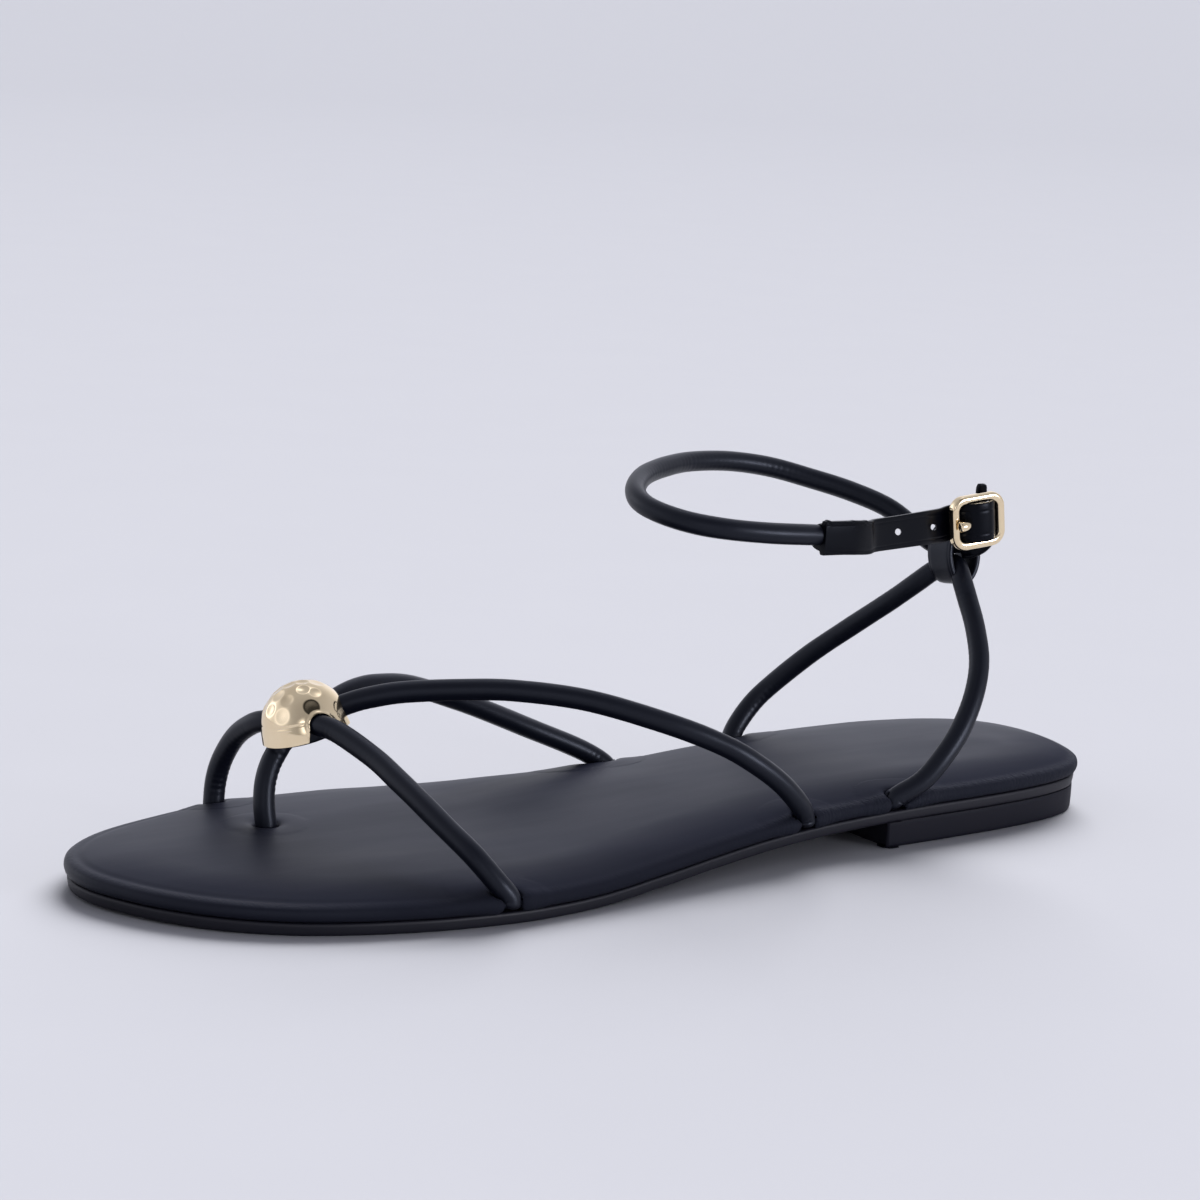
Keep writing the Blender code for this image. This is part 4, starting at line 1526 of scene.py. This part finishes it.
    def raise_lip(self, piece: bpy.types.Object, line: Points) -> None:
        """Roll the metal outwards around a strap's exit.

        Args:
            piece: the dome in its place.
            line: the strap's centre line in metres.
        """
        points = read_points(piece)
        away = nearest(points, line[::self.lip_stride]) / MM
        past = np.maximum(away - self.strap_room - self.lip_clear, 0)
        rise = self.lip_rise * bell(past, self.lip_width)
        out = unit(points - to_model(self.centre))
        write_points(piece, points + out * (rise * MM)[:, None])

    def exit_cutter(self, line: Points, wide: float) -> bpy.types.Object:
        """A round-topped cutter along a strap's first stretch, open downwards.

        Args:
            line: centre line in metres.
            wide: half width of the opening in millimetres.

        Returns:
            The closed cutter.
        """
        sideways, _ = carried_frames(line, np.cross(line[1] - line[0], UP))

        def place(along: Points, across: Points) -> Points:
            """Lay the cutter's points: half a tube above, straight walls below.

            Args:
                along: row numbers of the points.
                across: their column numbers.

            Returns:
                Their places in metres.
            """
            turn = rolled_turn(across, self.exit_girth)
            c, s = np.cos(turn), np.sin(turn)
            drop = np.clip(s * self.arch_steep, -1, 0) * self.arch_drop
            lift = np.where(s < 0, drop, s * self.strap_room) * MM
            walls = np.sign(c) * np.minimum(np.abs(c) * self.wall_steep, 1.0)
            out = np.where(s < 0, walls, c) * wide * MM
            return line[along] + sideways[along] * out[:, None] + np.array(UP) * lift[:, None]

        cutter = rolled_grid("exit_cutter", len(line) - 1, self.exit_girth, place)
        with editing(cutter):
            bpy.ops.mesh.fill_holes(sides=0)
            bpy.ops.mesh.normals_make_consistent(inside=False)
        return cutter

    def pad(self) -> bpy.types.Object:
        """The leather pad that closes the dome from below.

        Returns:
            The pad.
        """
        bpy.ops.object.select_all(action="DESELECT")
        bpy.ops.mesh.primitive_cylinder_add(vertices=self.pad_girth, radius=self.pad_radius * MM,
                                            depth=self.pad_height * MM)
        piece = just_added("bead_pad")
        with editing(piece):
            bpy.ops.mesh.bevel(offset=self.pad_round * MM, segments=5, affect="EDGES")
        drop = -(self.band + self.pad_below - self.pad_height / 2) * MM
        piece.data.transform(self.stand() @ Matrix.Translation((0, 0, drop)))
        smooth_shade(piece, degrees=60.0)
        return piece

    def make(self, dresser: Dresser, shape: SoleShape) -> None:
        """Build and dress the bead.

        Args:
            dresser: gives the finishes.
            shape: the sole, which the strap routes need.
        """
        lines = {strap.name: strap.line(shape)[:self.exit_steps] for strap in FRONT_STRAPS}
        rear = (lines["inner_instep_strap"] + lines["outer_instep_strap"]) / 2
        single = (lines["ball_strap"], lines["toe_strap"])
        piece = self.shell()
        apply_modifier(piece, "SOLIDIFY", thickness=self.wall * MM, offset=-1.0, use_even_offset=True)
        piece.data.transform(self.stand())
        for line in single:
            cut_away(piece, self.exit_cutter(line[::self.exit_stride], self.strap_room))
        cut_away(piece, self.exit_cutter(rear[::self.exit_stride], self.rear_room))
        with editing(piece):
            bpy.ops.mesh.remove_doubles(threshold=self.merge * MM)
            bpy.ops.mesh.dissolve_degenerate(threshold=self.sliver * MM)
        self.hammer(piece)
        for line in single:
            self.raise_lip(piece, line)
        smooth_shade(piece, degrees=40.0)
        apply_modifier(piece, "WEIGHTED_NORMAL", mode="FACE_AREA", weight=60, keep_sharp=True)
        dresser.dress(piece, PlatedGold("bead_gold"), Slot.GOLD, "bead_dome")
        dresser.dress(self.pad(), Leather("pad_leather", run=Run.OBJECT), Slot.STRAP, "front_straps")


# Ankle fastening


@dataclass
class Fastening:
    """Keeper ring, billet with its cuff, chape, buckle frame and prong."""

    centre: tuple = (43.5, 20.0, 69.65)
    rearward: tuple = (-0.985, 0.10, 0.12)
    frame_length: float = 11.8
    frame_height: float = 10.2
    frame_corner: float = 2.4
    frame_faces: tuple = (240, 36)
    corner_steps: int = 24
    wire_in_plane: float = 1.0
    wire_deep: float = 1.2
    wire_square: tuple = (0.72, 0.62)
    bar_radius: float = 0.6
    bar_outward: float = -0.6
    ring_centre: tuple = (38.7, 7.4, 59.9)
    ring_axis: tuple = (-0.08, 0.98, 0.12)
    ring_half: tuple = (3.4, 5.5)
    ring_wall: float = 1.5
    ring_depth: float = 7.4
    ring_flare: float = 0.15
    ring_square: float = 0.5
    ring_faces: tuple = (160, 64)
    ring_sheet: tuple = (36.0, 11.0)
    # Place, width, edge and middle thickness; all but the cuff's are in the buckle's axes.
    cuff_rows: tuple = (
        (90.2, 22.9, 69.15, 7.3, 1.7, 5.7), (84.6, 22.75, 68.95, 7.3, 1.7, 5.7),
        (80.6, 22.6, 68.7, 7.4, 1.6, 5.3), (76.6, 22.2, 68.3, 7.3, 1.5, 3.8),
        (73.6, 21.7, 68.4, 7.2, 1.3, 2.0), (66.0, 20.6, 68.5, 7.3, 1.1, 1.2),
        (58.0, 19.4, 68.7, 7.5, 1.1, 1.15),
    )
    billet_rows: tuple = (
        (-8.5, -0.1, -2.0, 7.7, 1.2, 1.3), (-5.2, 0.0, -2.3, 8.0, 1.2, 1.3), (-3.6, 0.0, -0.5, 8.4, 1.2, 1.3),
        (-2.0, 0.0, 1.5, 8.8, 1.2, 1.3), (0.0, 0.0, 2.1, 8.8, 1.2, 1.3), (2.2, 0.0, 1.9, 8.8, 1.2, 1.3),
        (4.0, 0.0, 0.3, 8.8, 1.2, 1.3), (5.6, 0.0, -2.2, 8.4, 1.2, 1.3), (8.2, 0.0, -2.7, 8.0, 1.2, 1.3),
    )
    chape_rows: tuple = (
        (3.7, -7.3, -9.6, 6.4, 2.4, 6.0), (4.3, -6.8, -7.4, 6.5, 2.2, 5.8), (5.0, -5.6, -6.2, 6.6, 1.6, 2.8),
        (5.5, -3.6, -5.3, 6.6, 1.35, 1.5), (5.0, -1.8, -4.6, 6.6, 1.3, 1.4), (3.8, -0.5, -3.9, 6.6, 1.2, 1.3),
        (2.5, 0.0, -2.9, 6.6, 1.0, 1.1), (1.3, 0.0, -1.95, 6.6, 0.7, 0.75),
    )
    tip_rows: tuple = (
        (3.4, -1.5, -3.9, 2.6, 1.1, 1.2), (3.5, 1.5, -3.6, 2.6, 1.1, 1.2), (3.6, 4.0, -3.5, 2.5, 1.1, 1.2),
        (3.7, 6.4, -3.3, 2.4, 1.1, 1.2), (3.8, 7.3, -3.1, 1.7, 1.0, 1.1),
    )
    # Places along the prong, in the buckle's axes.
    prong_rows: tuple = (
        (-3.5, -0.1, 0.0), (-3.55, -0.1, 1.1), (-3.85, -0.1, 2.05), (-4.6, -0.1, 2.45), (-5.6, -0.1, 2.45),
        (-6.4, -0.1, 2.3),
    )
    prong_radius: float = 1.15
    # The chape's turn round the middle bar: radius, degrees and section.
    fold_radius: float = 1.12
    fold_turns: tuple = (-90, -150, -210, -270, -320)
    fold_section: tuple = (6.6, 0.62, 0.66)
    # Section of the flat straps: softening along, end rounding, squareness and half width of the core.
    strap_ease: float = 0.7
    strap_end: float = 0.22
    strap_sides: float = 0.55
    strap_faces: float = 0.30
    core_half: float = 2.9
    sheet_width: float = 17.0
    # Place across, height and width of the creases.
    billet_crease: tuple = (2.6, -0.11, 0.17)
    cuff_creases: tuple = ((2.95, -0.26, 0.20), (3.4, 0.08, 0.25))
    chape_crease: tuple = (2.6, -0.08, 0.18)
    ring_crease: tuple = (2.95, -0.07, 0.16)
    cuff_length: float = 13.5
    cuff_nubs: tuple = ((1.1, 0.30), (8.0, 0.10), (11.6, 0.16))
    nub_width: float = 0.5
    holes: tuple = ((66.2, 20.6, 68.5), (54.9, 19.0, 68.65))
    hole_radius: float = 0.72
    hole_axis: tuple = (0.555, 0.81, 0.195)
    punch_length: float = 8.0
    leather: Leather = Leather("gloss_leather", dark=(0.0006, 0.0008, 0.0020),
                               light=(0.0014, 0.0017, 0.0036), roughness=0.30, specular=0.10)
    ring_leather: Leather = Leather("keeper_leather", roughness=0.36, specular=0.34)
    gold: PlatedGold = PlatedGold("buckle_gold")

    def axes(self) -> tuple:
        """The buckle's rearward, upward and outward directions.

        Returns:
            Three unit vectors.
        """
        rearward = unit(np.array(self.rearward))
        level = np.array(UP)
        upward = unit(level - rearward * level.dot(rearward))
        return rearward, upward, np.cross(rearward, upward)

    def in_buckle(self, rows: Sequence[Row]) -> Points:
        """Turn places in the buckle's own axes into the shoemaker's measure.

        Args:
            rows: places in the buckle's axes, then any other numbers.

        Returns:
            The rows in the shoemaker's measure.
        """
        table = np.asarray(rows, float)
        places = np.asarray(self.centre) + table[:, :3] @ np.stack(self.axes())
        return np.hstack((places, table[:, 3:]))

    def flat_strap(self, name: str, rows: Points, upward: Points, relief: Callable, around: int = 112,
                   row_mm: float = 0.22) -> bpy.types.Object:
        """Sweep a flat leather strap whose middle may be thicker than its edges.

        Args:
            name: the piece's name.
            rows: x, y, z, width, edge thickness and middle thickness.
            upward: direction of the strap's width.
            relief: extra width and thickness from travel and place across, in millimetres.
            around: faces round the strap.
            row_mm: step along the strap.

        Returns:
            The strap.
        """
        route = Route(rows)
        count = int(route.length / row_mm)
        table = route.even(count, self.strap_ease)
        centres = table[:, :3]
        runs = unit(np.gradient(centres, axis=0))
        face = unit(np.cross(runs, upward))
        wide = np.cross(face, runs)
        travel = np.linspace(0, route.length, count + 1)
        ends = rounded_ends(travel, route.length, self.strap_end)

        def place(along: Points, across: Points) -> Points:
            """Lay the sheet's points round the strap's flat section.

            Args:
                along: row numbers of the points.
                across: their column numbers.

            Returns:
                Their places in metres.
            """
            turn = rolled_turn(across, around)
            a = squared(np.cos(turn), self.strap_sides)
            b = squared(np.sin(turn), self.strap_faces)
            half, edge = table[along, 3] / 2, table[along, 4] / 2
            core = (table[along, 5] - table[along, 4]) / 2
            bulge = np.clip(1 - (np.abs(a) * half / self.core_half) ** 2, 0, 1) ** 0.5
            wider, thicker = relief(travel[along], a * half)
            sideways = a * (half + wider) * ends[along]
            outward = (b * (edge + core * bulge + thicker) + core * (1 - bulge)) * ends[along]
            return to_model(centres[along] + wide[along] * sideways[:, None] + face[along] * outward[:, None])

        piece = rolled_grid(name, count, around, place, (route.length, self.sheet_width))
        smooth_shade(piece, degrees=60.0)
        return piece

    def build_billet(self) -> bpy.types.Object:
        """Build the billet: cuff over the strap's end, creased edges and punched holes.

        Returns:
            The billet.
        """
        rows = np.vstack((self.cuff_rows, self.in_buckle(self.billet_rows)))

        def relief(travel: Points, across: Points) -> tuple:
            """Edge creases, the cuff's stitched-down sides and the thread nubs on its top edge.

            Args:
                travel: distance from the cuff's end.
                across: place across the strap.

            Returns:
                Extra width and thickness.
            """
            cuff = 1 / (1 + np.exp(travel - self.cuff_length))
            crease = edge_crease(across, self.billet_crease) * (1 - cuff)
            for row in self.cuff_creases:
                crease += edge_crease(across, row) * cuff
            nubs = sum(size * bell(travel - where, self.nub_width) for where, size in self.cuff_nubs)
            return np.where(across > 0, nubs * cuff, 0.0), crease

        _, up, _ = self.axes()
        piece = self.flat_strap("ankle_billet_leather", rows, up, relief)
        for place in self.holes:
            self.punch(piece, np.asarray(place), unit(np.array(self.hole_axis)))
        smooth_shade(piece, degrees=60.0)
        return piece

    def punch(self, piece: bpy.types.Object, place: Points, direction: Points) -> None:
        """Punch a round hole through a strap.

        Args:
            piece: the strap.
            place: the hole's middle.
            direction: the hole's axis.
        """
        bpy.ops.object.select_all(action="DESELECT")
        turn = Vector(UP).rotation_difference(Vector(direction))
        bpy.ops.mesh.primitive_cylinder_add(vertices=28, radius=self.hole_radius * MM,
                                            depth=self.punch_length * MM, location=to_model(place),
                                            rotation=turn.to_euler())
        cut_away(piece, bpy.context.active_object)

    def build_chape(self) -> bpy.types.Object:
        """Build the folded leather that carries the buckle.

        Returns:
            The chape.
        """
        fold = [(self.fold_radius * math.cos(turn), 0.0,
                 self.bar_outward + self.fold_radius * math.sin(turn), *self.fold_section)
                for turn in np.radians(self.fold_turns)]
        _, up, _ = self.axes()
        return self.flat_strap("buckle_chape_leather", self.in_buckle([*self.chape_rows, *fold]), up,
                               lambda travel, across: (0.0, edge_crease(across, self.chape_crease)),
                               around=80, row_mm=0.25)

    def build_tail(self) -> bpy.types.Object:
        """Build the small rounded leather tip that stands up behind the buckle.

        Returns:
            The tip.
        """
        rear, _, _ = self.axes()
        return self.flat_strap("chape_tip", self.in_buckle(self.tip_rows), rear,
                               lambda travel, across: (0.0, 0.0), around=48, row_mm=0.2)

    def build_frame(self) -> bpy.types.Object:
        """Bend the frame's rounded bar to a square with soft corners.

        Returns:
            The frame.
        """
        corner_x = self.frame_length / 2 - self.frame_corner
        corner_y = self.frame_height / 2 - self.frame_corner
        rows, around = self.frame_faces
        outline = []
        for quarter, (side_x, side_y) in enumerate(((1, 1), (-1, 1), (-1, -1), (1, -1))):
            for i in range(self.corner_steps + 1):
                turn = math.pi / 2 * (quarter + i / self.corner_steps)
                outline.append((side_x * corner_x + self.frame_corner * math.cos(turn),
                                side_y * corner_y + self.frame_corner * math.sin(turn), 0.0))
        outline = np.array(outline + outline[:1])
        travel = travelled(outline)
        flat = sampled(outline, travel, np.linspace(0, travel[-1], rows, endpoint=False))
        outside = np.column_stack((right_hand(flat), np.zeros(rows)))

        def place(along: Points, across: Points) -> Points:
            """Lay the bar's rounded square section along the outline.

            Args:
                along: row numbers of the points.
                across: their column numbers.

            Returns:
                Their places in metres.
            """
            ring = along % rows
            turn = rolled_turn(across, around)
            a = squared(np.cos(turn), self.wire_square[0]) * self.wire_in_plane
            b = squared(np.sin(turn), self.wire_square[1]) * self.wire_deep
            spot = flat[ring] + outside[ring] * a[:, None]
            spot[:, 2] += b
            return to_model(self.in_buckle(spot))

        piece = rolled_grid("buckle_frame_bar", rows, around, place)
        smooth_shade(piece, degrees=70.0)
        return piece

    def round_bar(self, name: str, rows: Sequence[Row], **sizes: Any) -> bpy.types.Object:
        """Sweep a plain round metal bar through places in the buckle's axes.

        Args:
            name: the piece's name.
            rows: places of its centre line.
            sizes: its other sizes.

        Returns:
            The bar.
        """
        places = tuple(map(tuple, self.in_buckle(rows)))
        return RoundStrap(name, places, seam_depth=0.0, uneven=0.0, bend_wrinkle=0.0,
                          **sizes).build(SoleShape())

    def build_bar(self) -> bpy.types.Object:
        """Build the round middle bar between the frame's long sides.

        Returns:
            The bar.
        """
        half = self.frame_height / 2
        rows = [(0, height, self.bar_outward) for height in (-half, 0, half)]
        return self.round_bar("buckle_middle_bar", rows, side=(1.0, 0.0, 0.0), radius=self.bar_radius,
                              girth=20, end_round=0.3)

    def build_prong(self) -> bpy.types.Object:
        """Build the short blunt prong that lies on the frame."""
        return self.round_bar("buckle_prong_bar", self.prong_rows, radius=self.prong_radius,
                              girth=32, row_mm=0.12, end_round=0.6)

    def build_ring(self) -> bpy.types.Object:
        """Build the leather band that ties heel strap and ankle strap together.

        Returns:
            The band.
        """
        axis = unit(np.array(self.ring_axis))
        across_way = unit(np.cross(axis, UP))
        upright = np.cross(across_way, axis)
        rows, around = self.ring_faces
        turn = np.linspace(0, math.tau, rows, endpoint=False)
        middle = 0.5 * self.ring_wall
        centres = (np.asarray(self.ring_centre)
                   + across_way * ((self.ring_half[0] + middle) * np.cos(turn))[:, None]
                   + upright * ((self.ring_half[1] + middle) * np.sin(turn))[:, None])
        outward = unit(across_way * (np.cos(turn) / self.ring_half[0])[:, None]
                       + upright * (np.sin(turn) / self.ring_half[1])[:, None])

        def place(along: Points, across: Points) -> Points:
            """Lay the band's rounded flat section round the ring.

            Args:
                along: row numbers of the points.
                across: their column numbers.

            Returns:
                Their places in metres.
            """
            ring = along % rows
            angle = rolled_turn(across, around)
            half = self.ring_depth / 2
            a = squared(np.cos(angle), self.ring_square) * half
            b = squared(np.sin(angle), self.ring_square) * middle
            b = b + edge_crease(a, self.ring_crease) * np.sign(b) + self.ring_flare * (a / half) ** 2
            return to_model(centres[ring] + axis * a[:, None] + outward[ring] * b[:, None])

        piece = rolled_grid("keeper_band", rows, around, place, self.ring_sheet)
        smooth_shade(piece, degrees=60.0)
        return piece

    def make(self, dresser: Dresser) -> None:
        """Build and dress every piece of the fastening.

        Args:
            dresser: gives the finishes.
        """
        dresser.dress(self.build_ring(), self.ring_leather, Slot.STRAP, "keeper_ring")
        dresser.dress(self.build_billet(), self.leather, Slot.STRAP, "ankle_billet")
        dresser.dress(self.build_chape(), self.leather, Slot.STRAP, "buckle_chape")
        dresser.dress(self.build_tail(), self.leather, Slot.STRAP, "buckle_chape")
        dresser.dress(self.build_frame(), self.gold, Slot.GOLD, "buckle_frame")
        dresser.dress(self.build_bar(), self.gold, Slot.GOLD, "buckle_frame")
        dresser.dress(self.build_prong(), self.gold, Slot.GOLD, "buckle_prong")


# Studio


@dataclass(frozen=True)
class Lamp:
    """A wide soft light from one direction; it lights and shades, but isn't mirrored in the metal."""

    name: str
    direction: tuple
    width: float
    strength: float

    def hang(self) -> None:
        """Add the lamp to the scene."""
        data = bpy.data.lights.new(self.name, "SUN")
        data.angle = math.radians(self.width)
        data.energy = self.strength
        lamp = bpy.data.objects.new(self.name, data)
        bpy.context.scene.collection.objects.link(lamp)
        lamp.rotation_euler = (-Vector(self.direction)).to_track_quat("-Z", "Y").to_euler()
        lamp.visible_glossy = False


@dataclass
class Studio:
    """Camera, pale floor and soft light."""

    lens: float = 102.0
    sensor: float = 36.0
    camera_place: tuple = (0.40525, 0.58359, 0.19283)
    camera_aim: tuple = (0.00650, 0.00036, 0.05409)
    camera_roll: float = 3.0
    floor_half: float = 14.0
    floor_drop: float = 0.00002
    sky_tint: tuple = (0.945, 0.957, 1.055)
    sky_low: float = 0.66
    sky_high: float = 0.50
    front: tuple = (0.565, 0.815, 0.13)
    front_dimmed: float = 0.40
    front_spread: float = 1.3
    # Direction, brightness and narrowness of each soft box.
    boxes: tuple = (
        ((0.95, -0.18, 0.26), 0.60, 14.0), ((0.56, 0.80, 0.22), 2.0, 90.0),
        ((-0.44, 0.87, 0.13), 28.0, 110.0), ((-0.25, -0.30, 0.92), 1.2, 60.0),
        ((-0.75, -0.63, 0.22), 0.5, 8.0), ((0.50, -0.83, 0.22), 1.2, 25.0),
    )
    tent_gap: tuple = (0.06, 0.48, 0.875)
    tent_gap_half: float = 18.5
    tent_gap_edge: float = 22.0
    tent_gap_dark: float = 0.92
    lamps: tuple = (Lamp("rear_box", (-0.58, -0.56, 0.60), 46.0, 9.6),)

    def build(self) -> None:
        """Set up camera, floor, lamps and background."""
        scene = bpy.context.scene
        scene.view_settings.view_transform = "Standard"
        data = bpy.data.cameras.new("photo_camera")
        data.lens = self.lens
        data.sensor_width = self.sensor
        camera = bpy.data.objects.new("photo_camera", data)
        scene.collection.objects.link(camera)
        place = Vector(self.camera_place)
        level = (Vector(self.camera_aim) - place).to_track_quat("-Z", "Y")
        camera.location = place
        camera.rotation_mode = "QUATERNION"
        camera.rotation_quaternion = level @ Quaternion((0, 0, 1), math.radians(self.camera_roll))
        scene.camera = camera
        for lamp in self.lamps:
            lamp.hang()
        self.hang_sky()
        self.lay_floor()

    def hang_sky(self) -> None:
        """Surround the shoe with a pale tent: dim on the camera's side, with soft boxes round about."""
        world = bpy.data.worlds.new("studio")
        bpy.context.scene.world = world
        world.use_nodes = True
        graph = Graph.around(world.node_tree)
        way = graph.coordinates(Run.SKY)
        climb = graph.facing(way, UP, 1.0)
        level = climb * (self.sky_high - self.sky_low) + self.sky_low
        level = level * (1.0 - graph.facing(way, self.front, self.front_spread) * self.front_dimmed)
        for direction, added, spread in self.boxes:
            level = level + graph.facing(way, direction, spread) * added
        near_gap = graph.facing(way, self.tent_gap, 1.0) - math.cos(math.radians(self.tent_gap_half))
        level = level * (1.0 - graph.clamped(near_gap * self.tent_gap_edge) * self.tent_gap_dark)
        background = world.node_tree.nodes["Background"]
        background.inputs["Color"].default_value = (*self.sky_tint, 1.0)
        world.node_tree.links.new(level.socket, background.inputs["Strength"])

    def lay_floor(self) -> None:
        """Lay the pale floor just under the sole."""
        bpy.ops.object.select_all(action="DESELECT")
        bpy.ops.mesh.primitive_plane_add(size=2 * self.floor_half, location=(0, 0, -self.floor_drop))
        floor = bpy.context.active_object
        floor.name = "floor"
        floor.data.materials.append(PaperFloor().material())


def main() -> None:
    """Build the studio and the sandal."""
    logging.basicConfig(level=logging.INFO, format="%(message)s")
    dresser = Dresser()
    shape = SoleShape()
    Studio().build()
    straps = Straps(shape)
    straps.make(dresser)
    Sole(shape).make(dresser, straps.tucked_lines())
    Bead().make(dresser, shape)
    Fastening().make(dresser)


if __name__ == "__main__":
    main()
